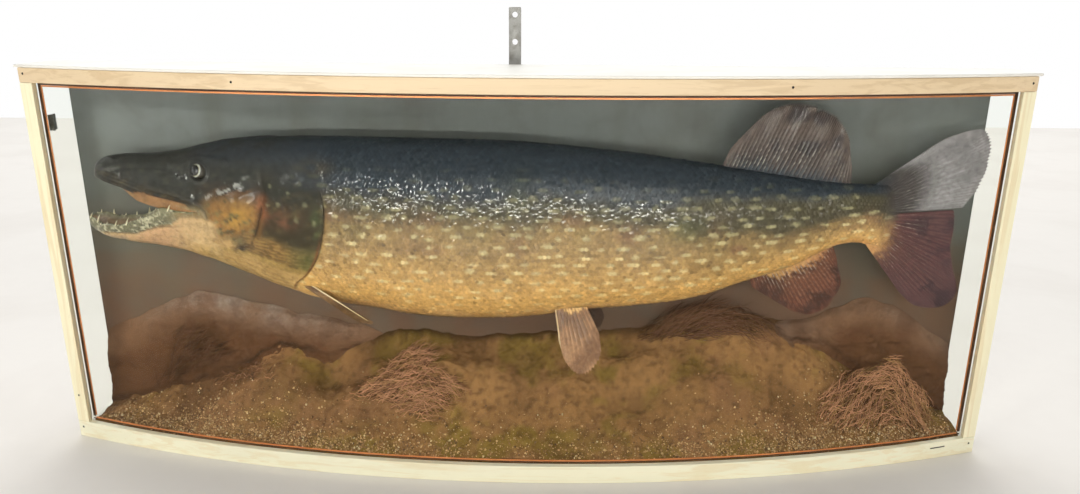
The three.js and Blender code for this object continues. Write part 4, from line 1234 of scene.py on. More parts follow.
def strands(points):
    """Fine wavy lines that run back along the foot of the gill cover, from -1 to 1."""
    x, z = side_view(points)
    above = z - along(COVER_FOOT, x) - 0.10 * np.maximum(x + 330, 0) * smooth(0, 30, z - 280)
    return np.sin(FULL_TURN * above / 4.4 + 3.2 * noise(points, 20, 251) + 1.6 * noise(points, 7, 253))


def strand_zone(points):
    x, z = side_view(points)
    above = z - along(COVER_FOOT, x)
    zone = smooth(-7, 1, above) * smooth(40, 22, above + 4 * noise(points, 16, 257))
    return zone * smooth(-356, -336, x) * smooth(2, -5, x - gill_edge_x(z))


def wet_patch(points):
    """Where old varnish lies thick behind the eye, from 0 to 1."""
    x, z = side_view(points)
    return bell(x + 359, 22) * bell(z - 369 - 0.42 * (x + 359), 6) + 0.6 * bell(x + 391, 9) * bell(z - 357, 4)


def wet_streaks(points):
    """Short streaks that climb backwards, from -1 to 1."""
    x, z = side_view(points)
    return noise(stack((x + 0.4 * z) / 2.4, z - 0.42 * x, 0 * x), 2.8, 245)


def relief(points):
    """How far the skin of head and flank stands in or out of the smooth outline."""
    x, z = side_view(points)
    out = np.full(x.shape, -SKIN_DEPTH)
    behind = x - gill_edge_x(z)
    gate = smooth(222, 246, z) * smooth(418, 396, z)
    head = smooth(-225, -262, x)

    def groove(line, width):
        return bell(near_line(x, z, line), width)

    # The gill cover stands over the flank and ends in a soft rim.
    out += np.where(behind > 0, -2.1 * np.exp(-np.maximum(behind, 0) / 13), 0) * gate * smooth(378, 338, z)
    rim_gate = gate * smooth(372, 330, z)
    out += 0.4 * bell(behind + 3.0, 2.2) * rim_gate - 0.5 * bell(behind + 9, 3) * rim_gate
    out += 0.8 * bell(behind + 30, 22) * gate * smooth(374, 336, z)
    # Cheek, and the deep crease behind it.
    open_crease = smooth(294, 306, z) * smooth(372, 350, z)
    out += (-2.4 * groove(CHEEK_CREASE, 1.9) - 1.0 * groove(CHEEK_CREASE, 6.0)) * (0.25 + 0.75 * open_crease)
    out += 2.2 * bell(x + 362, 30) * bell(z - 338, 26)
    out += -0.9 * groove(((-372, 352), (-352, 330), (-350, 308)), 2.4)
    out += -0.7 * groove(((-294, 366), (-286, 342), (-292, 300)), 3.0)
    fan_lines = np.sin(np.arctan2(z - 392, x + 318) * 34 + 0.8 * noise(points, 18, 211))
    out += 0.18 * fan_lines * bell(x + 275, 34) * bell(z - 342, 46) * gate
    # Jaw bones, brow, snout.
    out += -1.2 * groove(MAXILLA, 1.6) + 0.9 * bell(near_line(x, z, MAXILLA) - 5, 3.4)
    out += -1.3 * groove(JAW_FOLD, 1.9) * smooth(-420, -446, x)
    out += 2.4 * groove(BROW, 4.5)
    out += -1.5 * groove(SNOUT_GROOVE, 3.4)
    for height, depth in LIP_LINES:
        out += -depth * lip_line(points, height) * smooth(-545, -525, x) * smooth(-396, -412, x)
    # The folds of skin that cover the gill rays, under the gill cover.
    depth = throat_depth(x, z)
    inside = smooth(0.02, 0.12, depth) * smooth(-398, -372, x) * smooth(4, -8, behind)
    out += inside * (0.25 * throat_folds(points, depth) - 0.3)
    out += -0.9 * groove(COVER_FOOT, 1.8)
    out += 0.25 * strands(points) * strand_zone(points)
    # Wet-looking wrinkles behind the eye.
    out += 0.8 * wet_patch(points) * np.abs(wet_streaks(points))
    # Eye socket and nostrils.
    ring = from_eye(x, z)
    out += -6.0 * smooth(9.6, 7.6, ring) + 1.5 * bell(ring - 11.4, 1.9) - 0.9 * bell(ring - 15.5, 2.2)
    for px, pz in NOSTRILS:
        hole = np.hypot(x - px, z - pz)
        out += -2.6 * bell(hole, 1.6) + 0.9 * bell(hole - 3.0, 1.1)
    for px, pz in PORES:
        out += -1.0 * bell(np.hypot(x - px, z - pz), 1.25)
    # Dried skin is uneven: broad hollows, wrinkles and a fine tooth on the head.
    out += head * (0.55 * rough(points, 22, 227) + 0.30 * rough(points, 6, 229, 2))
    out += head * 0.35 * np.abs(noise(points * (0.35, 1, 1), 5, 233)) * smooth(350, 300, z)
    out += 0.5 * noise(points * (0.6, 1, 1), 4, 247) * smooth(-490, -520, x) * smooth(366, 374, z)
    out += (1 - head) * 0.5 * noise(points * (0.5, 1, 1), 42, 239)
    return out


def pushed(points, closed):
    """A grid of points moved along its normals by the relief."""
    ahead = np.gradient(points, axis=0)
    if closed:
        wrapped = np.concatenate([points[:, -1:], points, points[:, :1]], 1)
        sideways = (wrapped[:, 2:] - wrapped[:, :-2]) / 2
    else:
        sideways = np.gradient(points, axis=1)
    return points + unit(np.cross(sideways, ahead)) * relief(points)[..., None]


def flank_point(x, a):
    """Point of the finished skin, its outward normal and the direction along it, for what lies on it."""
    step_x, step_a = 0.6, 0.004
    here = section(x, a)
    ahead = section(x + step_x, a) - section(x - step_x, a)
    normal = unit(np.cross(section(x, a + step_a) - section(x, a - step_a), ahead))
    ahead /= np.linalg.norm(ahead, axis=-1, keepdims=True)
    return here + normal * relief(here)[..., None], normal, ahead


# ---------------- the fish's markings

SPOT_ALONG = 31.0
SPOT_ROW = 11.5
# BACK_SHADE is the back's own near black, tinted blue-grey as a painted reflection of dark surroundings in
# the varnish.
BACK_SHADE = (49, 57, 65)
SHOULDER = (72, 67, 48)
FLANK = (148, 120, 76)
BELLY = (208, 164, 98)
KEEL = (216, 172, 114)
SPOT = (220, 200, 146)
GOLD = (158, 152, 116)
# Pale spots on the gill cover: x, z, radius.
COVER_SPOTS = (
    (-296, 352, 2.6), (-283, 366, 2.2), (-262, 352, 3.0), (-274, 333, 2.8), (-306, 374, 2.2),
    (-252, 330, 2.2), (-268, 378, 2.0), (-310, 350, 2.0),
)


def spots(points):
    """Share of pale spot, from 0 to 1. They stand in loose rows and are drawn out along the body."""
    x, z = side_view(points)
    z = z + 3.0 * noise(points, 60, 401)
    best = np.zeros(x.shape)
    for row_step in (-1, 0, 1):
        row = np.floor(z / SPOT_ROW) + row_step
        row_key = row.astype(np.int64)
        offset = hashed(row_key, 0, 0, 403) * 0.4 + 0.5 * (row % 2)
        for column_step in (-1, 0, 1):
            column = np.floor(x / SPOT_ALONG + offset) + column_step
            jx, jz, size, gone = (hashed(row_key, column.astype(np.int64), n, 407) for n in range(4))
            at_x = (column + 0.25 + 0.5 * jx - offset) * SPOT_ALONG
            at_z = (row + 0.3 + 0.4 * jz) * SPOT_ROW
            far = np.hypot((x - at_x) / (3.8 + 4.8 * size), (z - at_z) / (1.7 + 1.5 * jz))
            best = np.maximum(best, smooth(1.25, 0.7, far) * (gone > 0.14))
    return best


def body_tone(points):
    """Colour of the flank: near black above, olive, then gold towards the belly, with pale spots."""
    x, z = side_view(points)
    cloud = rough(points, 46, 411)
    fine = noise(points, 6, 413)
    level = body_level(x, z) + 0.03 * cloud + 0.012 * fine
    level = level + 0.10 * smooth(90, 330, x) - 0.04 * smooth(380, 450, x)
    rising = level - 0.19 * smooth(110, 330, x)
    tone = painted(KEEL, BELLY, smooth(0.0, 0.10, level))
    tone = painted(tone, FLANK, smooth(0.14, 0.52, level))
    tone = painted(tone, SHOULDER, smooth(0.52, 0.67, level))
    tone = painted(tone, BACK_SHADE, smooth(0.66, 0.78, rising))
    tone = painted(tone, (66, 58, 36), 0.45 * (smooth(150, 330, x) * bell(level - 0.66, 0.17)))
    russet = smooth(0.2, 0.9, noise(points * (1, 1, 1.6), 34, 417)) * bell(level - 0.52, 0.14)
    tone = painted(tone, (122, 84, 62), 0.6 * russet)
    green = smooth(0.1, 0.9, noise(points, 40, 419)) * bell(level - 0.60, 0.16)
    tone = painted(tone, (84, 88, 52), 0.55 * green)
    brown = smooth(0.1, 0.7, fine + 0.5 * cloud) * bell(level - 0.4, 0.25)
    tone = painted(tone, (96, 72, 42), 0.35 * brown)
    marks = spots(points) * smooth(0.92, 0.66, rising) * smooth(-0.04, 0.22, level)
    pale = painted(GOLD, SPOT, smooth(0.75, 0.35, level))
    tone = painted(tone, pale, marks * mix(0.72, 0.34, smooth(0.5, 0.75, rising)))
    tone = painted(tone, (206, 142, 96), 0.6 * (bell(x - 405, 60) * smooth(0.24, 0.04, level)))
    tail = painted((96, 64, 54), (58, 52, 50), smooth(0.35, 0.6, level))
    return painted(tone, tail, smooth(440, 492, x + 8 * cloud + 5 * fine))


def head_tone(points):
    """Colour of the head: dark crown, amber cheek, olive gill cover, pale throat and jaw."""
    x, z = side_view(points)
    behind = x - gill_edge_x(z)
    patchy = rough(points, 24, 431)
    fine = noise(points, 5, 433)
    grain = noise(points, 2.2, 435)
    lean = stack((x + 0.5 * z) / 17, (z - 0.4 * x) / 3.2, points[..., 1] / 9)
    scratch = noise(lean, 1.0, 437)
    # The same place, pushed about, for patches with an uneven edge.
    wx, wz = x + 5 * patchy + 1.6 * fine, z + 5 * np.roll(patchy, 3) + 1.6 * fine
    tone = np.broadcast_to(colour(52, 53, 50), points.shape)

    def lay(shade, share):
        nonlocal tone
        tone = painted(tone, shade, np.clip(share, 0, 1))

    def patch(at_x, reach_x, at_z, reach_z):
        return bell(wx - at_x, reach_x) * bell(wz - at_z, reach_z)

    # Crown and snout.
    lay((52, 56, 60), smooth(388, 410, wz) * smooth(-440, -380, x))
    lay((92, 90, 84), bell(x + 556, 16) * 0.6 * smooth(-0.5, 0.7, patchy + 0.5 * fine))
    # Painted highlight: pale grey strokes over the snout stand in for its wet glints.
    glint_strokes = bell(x + 524, 24) * bell(z - 383, 11) * smooth(0.15, 0.6, scratch + 0.6 * grain)
    lay((118, 118, 114), glint_strokes * 0.45)
    lay((42, 44, 40), smooth(0.0, 0.8, patchy + 0.4 * scratch) * 0.7)
    lay((84, 78, 64), smooth(0.25, 0.8, fine + 0.4 * grain) * 0.3 * smooth(410, 380, z))
    above = over_lip(x, z)
    lips = smooth(-552, -530, x) * smooth(-392, -412, x)
    lay((92, 78, 52), lips * bell(above - 8, 6) * smooth(-0.5, 0.4, scratch) * 0.7)
    # Painted shade in the grooves along the lip.
    for height, _ in LIP_LINES:
        lay((34, 31, 27), 0.7 * lips * lip_line(points, height))
    strip = 5.0 * smooth(-500, -478, x) * smooth(-400, -426, x)
    lay((40, 32, 25), lips * smooth(strip + 3.2, strip + 0.6, above) * 0.9)
    lay((140, 102, 66), smooth(0.6, 2.0, strip) * smooth(strip + 0.3, strip - 0.7, above + 0.5 * fine))
    # Brown behind the eye and over the cheek, then the amber cheek itself, broken by olive.
    lay((96, 68, 44), 0.9 * patch(-352, 34, 360, 12) * smooth(-0.9, 0.3, scratch))
    # Painted highlight: pale streaks behind the eye stand in for the glints of its wet varnish.
    dried = wet_patch(points) * smooth(0.15, 0.45, wet_streaks(points))
    lay((192, 192, 186), 0.72 * dried)
    cheek = smooth(-408, -378, wx) * smooth(-314, -328, wx) * smooth(362, 342, wz) * smooth(288, 304, wz)
    lay((128, 92, 52), 0.95 * cheek)
    lay((166, 126, 62), patch(-356, 24, 330, 17) * smooth(0.9, -0.2, 0.6 * patchy + 0.5 * fine))
    lay((146, 92, 52), 0.35 * patch(-376, 9, 322, 12))
    lay((96, 96, 62), cheek * smooth(0.05, 0.55, 0.7 * scratch + 0.5 * fine + 0.4 * patchy) * 0.8)
    lay((88, 90, 66), 0.85 * patch(-362, 26, 301, 7))
    lay((70, 46, 30), cheek * smooth(0.35, 0.7, scratch) * 0.65)
    # Gill cover: near black above, olive and green, a russet patch, then ochre strands at its foot.
    cover = smooth(-332, -310, wx) * smooth(6, -4, behind) * smooth(276, 300, wz) * smooth(396, 370, wz)
    lay((58, 52, 38), 0.95 * cover)
    lay((36, 37, 33), 0.95 * cover * smooth(338, 366, wz))
    lay((92, 78, 50), cover * smooth(0.15, 0.6, scratch + 0.4 * fine) * smooth(376, 350, wz) * 0.55)
    green = bell(behind + 14, 12) * smooth(362, 330, z) * smooth(-0.2, 0.6, patchy + 0.6 * scratch)
    lay((66, 76, 48), 0.8 * cover * green)
    lay((112, 74, 54), 0.75 * patch(-294, 19, 332, 13) * smooth(0.8, -0.4, fine + 0.3 * scratch))
    lay((146, 92, 62), 0.8 * patch(-321, 7, 344, 16))
    zone = strand_zone(points)
    ochre = painted((112, 86, 50), (142, 112, 66), smooth(-1.0, 1.0, strands(points) + 1.2 * fine))
    lay(ochre, zone * (0.85 + 0.15 * patchy))
    lay((82, 94, 52), zone * smooth(-300, -262, wx) * 0.6)
    # Throat, with faint folds under the gill cover.
    depth = throat_depth(x, z)
    folds = smooth(-0.10, 0.06, depth + 0.04 * fine) * smooth(-400, -376, x) * smooth(8, -2, behind)
    stripe = 0.5 + 0.5 * throat_folds(points, depth)
    lay(painted((158, 126, 78), (184, 150, 98), 0.45 + 0.35 * stripe + 0.3 * patchy), folds)
    lay((140, 118, 64), folds * smooth(0.3, -0.02, depth) * 0.6)
    # Lower jaw: a rough grey band by the rim, then cream down to the chin.
    jaw = smooth(-388, -402, x) * smooth(345, 335, z)
    fold_z = along(JAW_FOLD[:5], x) + 13 * smooth(-452, -424, x)
    lay((112, 108, 84), jaw)
    rind = smooth(-0.25, 0.45, 0.7 * fine + 0.6 * grain + 0.3 * patchy)
    lay((184, 178, 150), jaw * rind * (0.25 + 0.65 * smooth(-430, -462, x)))
    lay((58, 56, 44), jaw * smooth(0.2, 0.7, fine - 0.5 * grain) * 0.75)
    lay((138, 114, 78), jaw * smooth(-452, -424, x) * smooth(0.8, 0.0, fine) * 0.85)
    under = smooth(fold_z + 3, fold_z - 3, z + 2.0 * patchy + fine)
    under = under * smooth(-564, -540, x) * smooth(-374, -392, x)
    throat = smooth(312, 298, wz) * smooth(-404, -384, x)
    throat = throat * smooth(0.05, -0.03, depth) * smooth(-352, -368, wx)
    lay((186, 156, 112), under)
    lay((194, 148, 112), under * bell(x + 470, 40) * 0.6)
    lay((184, 150, 92), under * smooth(-470, -400, x) * smooth(300, 280, z) * 0.8)
    lay((178, 144, 94), throat)
    lay((172, 150, 110), (under + throat) * smooth(0.35, 0.8, fine + 0.5 * scratch) * 0.5)
    # Dark lines painted as shade in the crease behind the cheek, in the folds of jaw and lip, and on the
    # flank under the rim of the gill cover; the reddish line on the rim is its own colour.
    crease = near_line(wx * 0.3 + x * 0.7, z, CHEEK_CREASE)
    lay((34, 28, 22), 0.9 * bell(crease, 2.1) * smooth(358, 344, z) * smooth(302, 312, z))
    lay((64, 44, 28), 0.6 * bell(crease, 3.5) * smooth(0.4, -0.2, fine) * smooth(372, 350, z))
    lay((44, 38, 30), 0.5 * bell(near_line(x, z, MAXILLA), 1.6))
    lay((66, 60, 46), 0.5 * bell(near_line(x, z + fine, JAW_FOLD), 1.5) * smooth(-560, -540, x)
        * smooth(-426, -446, x))
    lay((122, 74, 44), 0.7 * bell(behind + 1.5, 1.6) * smooth(320, 290, z) * smooth(226, 240, z))
    lay((50, 42, 30), 0.4 * bell(behind - 1.0, 1.7) * smooth(368, 330, z) * smooth(226, 240, z))
    for px, pz, size in COVER_SPOTS:
        round_spot = smooth(size * 1.4, size * 0.5, np.hypot(x - px, z - pz) + 0.6 * grain)
        lay((138, 136, 108), 0.6 * round_spot)
    for px, pz in PORES:
        lay((24, 22, 20), 0.5 * bell(np.hypot(x - px, z - pz), 1.2))
    for px, pz in NOSTRILS:
        lay((14, 13, 13), 0.9 * bell(np.hypot(x - px, z - pz), 1.7))
    lay((30, 28, 26), 0.85 * bell(from_eye(x, z) - 9.4, 1.8))
    return tone * (1 + 0.10 * patchy + 0.10 * fine + 0.08 * grain)[..., None]


def fish_tone(points):
    """Colour of the whole skin: that of the head runs out over the nape and stops at the gill cover."""
    x, z = side_view(points)
    behind = x - gill_edge_x(z)
    nape = smooth(-70, 46, behind + 16 * noise(points, 14, 439))
    share = mix(smooth(-1, 3, behind), nape, smooth(338, 392, z))
    share = mix(share, smooth(-40, 30, behind), smooth(240, 222, z))
    tone = painted(head_tone(points), body_tone(points), share)
    blotched = bell(x + 250, 26) * bell(z - 396, 9) * smooth(-0.5, 0.4, noise(points, 11, 441))
    return np.clip(painted(tone, (76, 68, 54), 0.7 * blotched), 0.004, 1)


def varnish(points):
    """How glossy the skin is: dull on the gill cover, wet behind the eye."""
    x, z = side_view(points)
    behind = x - gill_edge_x(z)
    dull = smooth(-334, -316, x) * smooth(30, 0, behind) + 0.7 * bell(x + 356, 30) * bell(z - 330, 22)
    share = mix(0.4, 0.05, np.clip(dull + smooth(0.74, 0.88, body_level(x, z)), 0, 1))
    wet = wet_patch(points) * (0.2 + 0.8 * smooth(-0.1, 0.2, wet_streaks(points)))
    wet = wet + 0.7 * smooth(-470, -520, x) * smooth(0.0, 0.5, noise(points, 8, 247))
    for px, pz in NOSTRILS:
        wet = wet + bell(np.hypot(x - px, z - pz), 6)
    return np.clip(share + 0.9 * wet, 0, 1)


# ---------------- skin


def ring_angles(columns):
    return columns * 2 * math.pi / RING


def jaw_stations(tip):
    """Rows along a jaw, closest where its tip rounds off."""
    rounding = tip + 8 * np.linspace(0, 1, 9) ** 1.6
    return np.concatenate([rounding, np.arange(tip + 9.6, MOUTH_CORNER, 1.7), [MOUTH_CORNER]])


def body_stations():
    """Rows along the body: close on the head, closest at the gill edge, wider behind it."""
    head = np.arange(MOUTH_CORNER, GILL_X - 3, 1.7)
    edge = GILL_X + np.array([-2.4, -1.2, -0.5, -0.12, 0.12, 0.5, 1.2, 2.4, 4.0, 6.2])
    flank = np.arange(GILL_X + 9, TAIL_END - 2, 5.0)
    return np.concatenate([head, edge, flank, np.linspace(TAIL_END - 2, SKIN_END, 12)])


def body_grid():
    """The outline of the body, with its rows pulled round to follow the gill edge."""
    a = ring_angles(np.arange(RING))
    stations = body_stations()
    reference = section(GILL_X, a)[:, 2]
    reference = np.where((a < 0.35) | (a > FULL_TURN - 0.35), 414, reference)
    pull = gill_edge_x(reference) - GILL_X
    share = np.clip(1 - ((stations - GILL_X) / GILL_REACH) ** 2, 0, 1) ** 2
    x = stations[:, None] + share[:, None] * pull[None, :]
    return section(x, a[None, :].repeat(len(stations), 0))


def lined(stops, half_widths, lifts, edge, count):
    """Rows over the inside of a jaw, from the near edge to the far one, and how far in each point lies.

    half_widths and lifts hold a column for each stop, which is a share of the way to the middle.
    """
    side = np.linspace(-1, 1, count)
    share = 1 - np.abs(side)
    y, z = (np.stack([np.interp(share, stops, row) for row in np.stack(table, -1)])
            for table in (half_widths, lifts))
    return y * np.sign(side), edge[:, None] + z, share


def roof_section(x, count):
    """Underside of the upper jaw: the amber strip, then the vault."""
    ridge, lip, half = (along(BILL, x, k) for k in (1, 2, 3))
    vault = np.minimum(ROOF_LIFT, 0.45 * (ridge - lip))
    strip = 11.0 * smooth(-516, -488, x) * mix(1, 0.3, smooth(-446, -401, x))
    half_widths = (half, half - 0.9, half - 2.6, half - 8.5, 0.52 * half, 0 * half)
    lifts = (0 * lip, -0.62 * strip, -strip, 0.25 * vault, 0.85 * vault, vault)
    return lined((0, 0.10, 0.22, 0.34, 0.66, 1.0), half_widths, lifts, lip, count)


def floor_section(x, count):
    """Inside of the lower jaw: the rim, its steep wall, then the floor."""
    rim, _, half, floor = (along(JAW, x, k) for k in (1, 2, 3, 4))
    wall = np.minimum(6.5, 0.4 * half)
    sunk = floor - rim
    half_widths = (half, half - 0.25 * wall, half - 0.7 * wall, half - wall, 0.6 * (half - wall), 0 * half)
    lifts = (0 * rim, 0 * rim + 1.3, 0 * rim + 0.9, 0.25 * sunk, 0.9 * sunk, sunk)
    return lined((0, 0.06, 0.14, 0.22, 0.45, 1.0), half_widths, lifts, rim, count)


def make_skin():
    patches, tones = [], []

    def keep(points, faces, tone):
        start = sum(len(part) for part, _ in patches)
        patches.append((points.reshape(-1, 3), np.asarray(faces) + start))
        tones.append(tone.reshape(-1, 3))

    def cap(loop, paint):
        """Closes a ring with a fan to its middle."""
        points = np.concatenate([loop, loop.mean(0)[None]])
        keep(points, fan(range(len(loop)), len(loop)), paint(points))

    body = body_grid()
    outside = pushed(body, True)
    keep(outside, grid(*body.shape[:2], closed=True), fish_tone(body))

    def jaw(part, x, columns):
        """The outside of one jaw. The first rows of the body lead it on to the corner of the mouth."""
        shell = section(x[:, None], ring_angles(columns)[None, :], part)
        out = pushed(np.concatenate([shell, body[1:4][:, columns]]), False)[:len(x)]
        out[-1] = outside[0][columns]
        keep(out, grid(*shell.shape[:2]), fish_tone(shell))
        return out

    bill_x, jaw_x = jaw_stations(BILL[0][0]), jaw_stations(JAW[0][0])
    upper = jaw("bill", bill_x, np.arange(-QUARTER, QUARTER + 1))
    lower = jaw("jaw", jaw_x, np.arange(QUARTER, 3 * QUARTER + 1))
    count = 61
    roof, roof_tone = inside_patch(bill_x, roof_section, upper[:, ::-1], count)
    floor, floor_tone = inside_patch(jaw_x, floor_section, lower, count)
    keep(roof, grid(len(bill_x), count), roof_tone)
    keep(floor, grid(len(jaw_x), count)[:, ::-1], floor_tone)

    # The back of the mouth closes the space between roof and floor.
    rows = 25
    v = np.linspace(0, 1, rows)[:, None, None]
    back = mix(roof[-1][None], floor[-1][None], v)
    across = np.linspace(-1, 1, count)[None, :]
    back[..., 0] += 26 * (np.sin(math.pi * v[..., 0]) ** 0.7) * (1 - across ** 4)
    dark = colour(70, 46, 34) * np.ones((rows, count, 1))
    above = mix(roof_tone[-1][None], dark, np.minimum(1, 6 * v))
    below = mix(floor_tone[-1][None], dark, np.minimum(1, 6 * (1 - v)))
    keep(back, grid(rows, count), mix(above, below, v))

    for ring, inner in ((upper[0], roof[0]), (lower[0], floor[0])):
        rest = inner[1:-1] if np.allclose(ring[-1], inner[0], atol=0.05) else inner[1:-1][::-1]
        cap(np.concatenate([ring, rest]), fish_tone)
    cap(outside[-1], body_tone)

    parts, faces = zip(*patches)
    points, faces, tone = weld(np.concatenate(parts), faces, np.concatenate(tones))
    hide = toned("fish_skin", 0.45, 0.3, 130.0, 0.35, 0.45, 0.4, (40, 34, 26), wet="varnish",
                 coat_roughness=0.12, coat_ior=1.7, specular_ior_level=0.1)
    nodes = ["head", "throat", "lower_jaw", "gill_cover_left", "gill_cover_right", "trunk_front",
             "trunk_middle", "trunk_rear", "tail_stalk"]
    add_piece("skin", points, faces, hide, "flank_skin", nodes, tone, {"varnish": varnish(points)}, crease=75)


def inside_patch(x, shape, outer, count):
    """A patch inside the mouth whose two long edges are those of the outer skin, and its colours."""
    y, z, share = shape(x, count)
    near, far = outer[:, 0], outer[:, -1]
    points = stack(x[:, None] + 0 * y, middle_y(x)[:, None] + y, z)
    start, end = points[:, 0], points[:, -1]
    if np.abs(start[:, 1] - near[:, 1]).mean() > np.abs(start[:, 1] - far[:, 1]).mean():
        near, far = far, near
    across = np.linspace(0, 1, count)[None, :, None]
    shift = (near - start)[:, None] * (1 - across) ** 6 + (far - end)[:, None] * across ** 6
    q = share * np.ones((len(x), 1))
    if shape is roof_section:
        tone = painted((140, 104, 68), (124, 92, 68), smooth(0.26, 0.42, q))
        tone = painted(tone, (142, 100, 64), 0.6 * smooth(0.1, 0.7, noise(points * (0.4, 1, 1), 4, 501)))
        tone = painted(tone, (66, 54, 46), smooth(-498, -512, points[..., 0]))
        tone = painted(tone, (120, 84, 52), 0.5 * smooth(0.05, 0.0, q))
        lumps = 0.5 * noise(points, 5, 503) * smooth(0.3, 0.5, q) * smooth(0.0, 0.2, q)
    else:
        tone = painted((128, 124, 98), (158, 134, 108), smooth(0.14, 0.30, q))
        pale = smooth(0.0, 0.8, noise(points, 6, 507) + 0.5 * noise(points, 3, 509)) * smooth(0.24, 0.1, q)
        tone = painted(tone, (206, 202, 174), 0.85 * pale)
        dark = smooth(0.15, 0.7, noise(points, 3.4, 521)) * smooth(0.3, 0.1, q)
        tone = painted(tone, (54, 50, 38), 0.7 * dark)
        tone = painted(tone, (84, 60, 44), smooth(-470, -420, points[..., 0]) * smooth(0.2, 0.5, q))
        lumps = (1.3 * np.abs(noise(points, 5, 511)) + 0.8 * noise(points, 2.6, 513)) * bell(q - 0.11, 0.09)
        lumps = lumps + 0.5 * noise(points, 7, 517) * smooth(0.25, 0.5, q)
        lumps = lumps + 3.2 * bell(points[..., 0] + 457, 15) * bell(q - 0.1, 0.08)
        lumps = lumps * smooth(0, 0.05, q)
    points = points + shift
    points[..., 2] += lumps
    return points, np.clip(tone * (1 + 0.12 * noise(points, 4, 519))[..., None], 0, 1)


# ---------------- scales

SCALE_ROW = 4.2
SCALE_PITCH = 5.1
SCALE_LONG = 7.6
SCALE_WIDE = 5.1
SCALE_PATCH = 0.003  # size of one scale on its colour map


def scale_template():
    """One scale as a domed leaf. Its points are shares along it and across it, and a height."""
    lengthways = np.array([0, 0.45, 0.78, 1.0])
    width = np.array([0.72, 1.0, 0.82, 0.3])
    lift = np.array([-0.7, 0.1, 0.58, 0.62])
    s, t = np.meshgrid(lengthways, np.linspace(-1, 1, 5), indexing="ij")
    dome = 0.07 * (1 - t ** 2) * np.array([0.3, 1, 0.9, 0.35])[:, None]
    bent = s - 0.10 * t ** 2 * (s > 0.9)
    points = stack(bent - 0.45, t * width[:, None], lift[:, None] + dome).reshape(-1, 3)
    return points, grid(4, 5), border(4, 5)


def scale_roots(side, start, end):
    """Places of the scales between two stations: x and the angle round the body, in staggered rows."""
    stations = np.clip(np.arange(start - 12, end + 12, 4.0), MOUTH_CORNER, SKIN_END)
    angles = np.linspace(0.02, math.pi - 0.02, 420)
    ring = section(stations[:, None], angles[None, :])
    steps = np.linalg.norm(np.diff(ring, axis=1), axis=-1)
    arc = np.concatenate([np.zeros((len(stations), 1)), np.cumsum(steps, 1)], 1)
    arc -= arc[:, [np.argmin(np.abs(angles - math.pi / 2))]]
    rows = np.arange(-56, 57)
    table = np.stack([np.interp(rows * SCALE_ROW, line, angles, left=np.nan, right=np.nan) for line in arc])
    xs, angle = [], []
    for k, row in enumerate(rows):
        x = np.arange(start, end, SCALE_PITCH) + (row % 2) * SCALE_PITCH / 2
        a = np.interp(x, stations, table[:, k])
        xs.append(x[~np.isnan(a)])
        angle.append(a[~np.isnan(a)])
    x, a = np.concatenate(xs), np.concatenate(angle)
    return x, (a if side < 0 else FULL_TURN - a)


def make_scales(rng, material):
    template, quads, rim = scale_template()
    for label, side in (("left", -1), ("right", 1)):
        for part, start, end in (("front", -262, 20), ("rear", 20, SKIN_END - 12)):
            x, a = scale_roots(side, start, end)
            x = x + rng.normal(0, 0.35, len(x))
            z = section(x, a)[:, 2]
            first = np.where(z > 402, -250 + 0.2 * np.abs(z - 414), gill_edge_x(z) + 3.2)
            kept = (x > first) & (x < SKIN_END - 14)
            x, a, first = x[kept], a[kept], first[kept]
            count = len(x)
            here, normal, ahead = flank_point(x, a)
            across = np.cross(normal, ahead)
            slim = smooth(SKIN_END, 360, x) * 0.4 + 0.6
            fine = 0.82 + 0.18 * smooth(-262, -120, x)
            turn, tilt, roll = (rng.normal(0, sigma, count)[:, None] for sigma in (0.05, 0.08, 0.07))
            size = slim * fine * rng.uniform(0.94, 1.08, count)
            full = stack(SCALE_LONG * size, SCALE_WIDE / 2 * size, np.ones(count))
            lx, ly, lz = np.moveaxis(template[None] * full[:, None], -1, 0)
            height = (lz + tilt * lx + roll * ly) * mix(0.55, 1, smooth(0, 14, x - first))[:, None]
            lx, ly = lx - turn * ly, ly + turn * lx
            points = (here[:, None] + lx[..., None] * ahead[:, None] + ly[..., None] * across[:, None]
                      + height[..., None] * normal[:, None])
            shift = np.arange(count)[:, None, None] * len(template)
            faces = (quads[None] + shift).reshape(-1, 4).tolist()
            faces += (np.array(rim[::-1])[None] + shift[:, 0]).tolist()
            tone = 0.5 * fish_tone(points) + 0.5 * fish_tone(here)[:, None]
            shade = 1 + rng.normal(0, 0.13, (count, 1, 1)) - 0.18 * (template[:, 0] > 0.42)[None, :, None]
            tone = np.clip(tone * shade, 0, 1).reshape(-1, 3)
            # Under the back the scales are wet with varnish, and duller on the tail.
            shiny = mix(0.85, 0.0, smooth(0.76, 0.90, body_level(x[:, None], points[..., 2])))
            shiny = (shiny * (1 - 0.6 * smooth(150, 250, x)[:, None])).ravel()
            at = stack((x - MOUTH_CORNER) / (SKIN_END - MOUTH_CORNER), a / FULL_TURN)
            leaf = template[:, :2] / np.array([1.0, 2.0]) * SCALE_PATCH
            uv = ((0.02 + 0.96 * at)[:, None] + leaf[None]).reshape(-1, 2)
            add_piece(f"scales_{label}_{part}", points.reshape(-1, 3), faces, material, "flank_skin",
                      tone=tone, masks={"varnish": shiny}, crease=60, uv=uv)


# ---------------- fins

RAY_COLUMNS = 8
RAY_SPLIT = 0.4


def ray_ridge(phase, v):
    """Height of the rays, from 0 to 1. Each ray parts in two beyond a share of its length."""
    share = phase % 1.0
    spread = 0.24 * smooth(RAY_SPLIT, 0.95, v)
    return np.maximum(bell(np.abs(share - 0.5 - spread), 0.13), bell(np.abs(share - 0.5 + spread), 0.13))


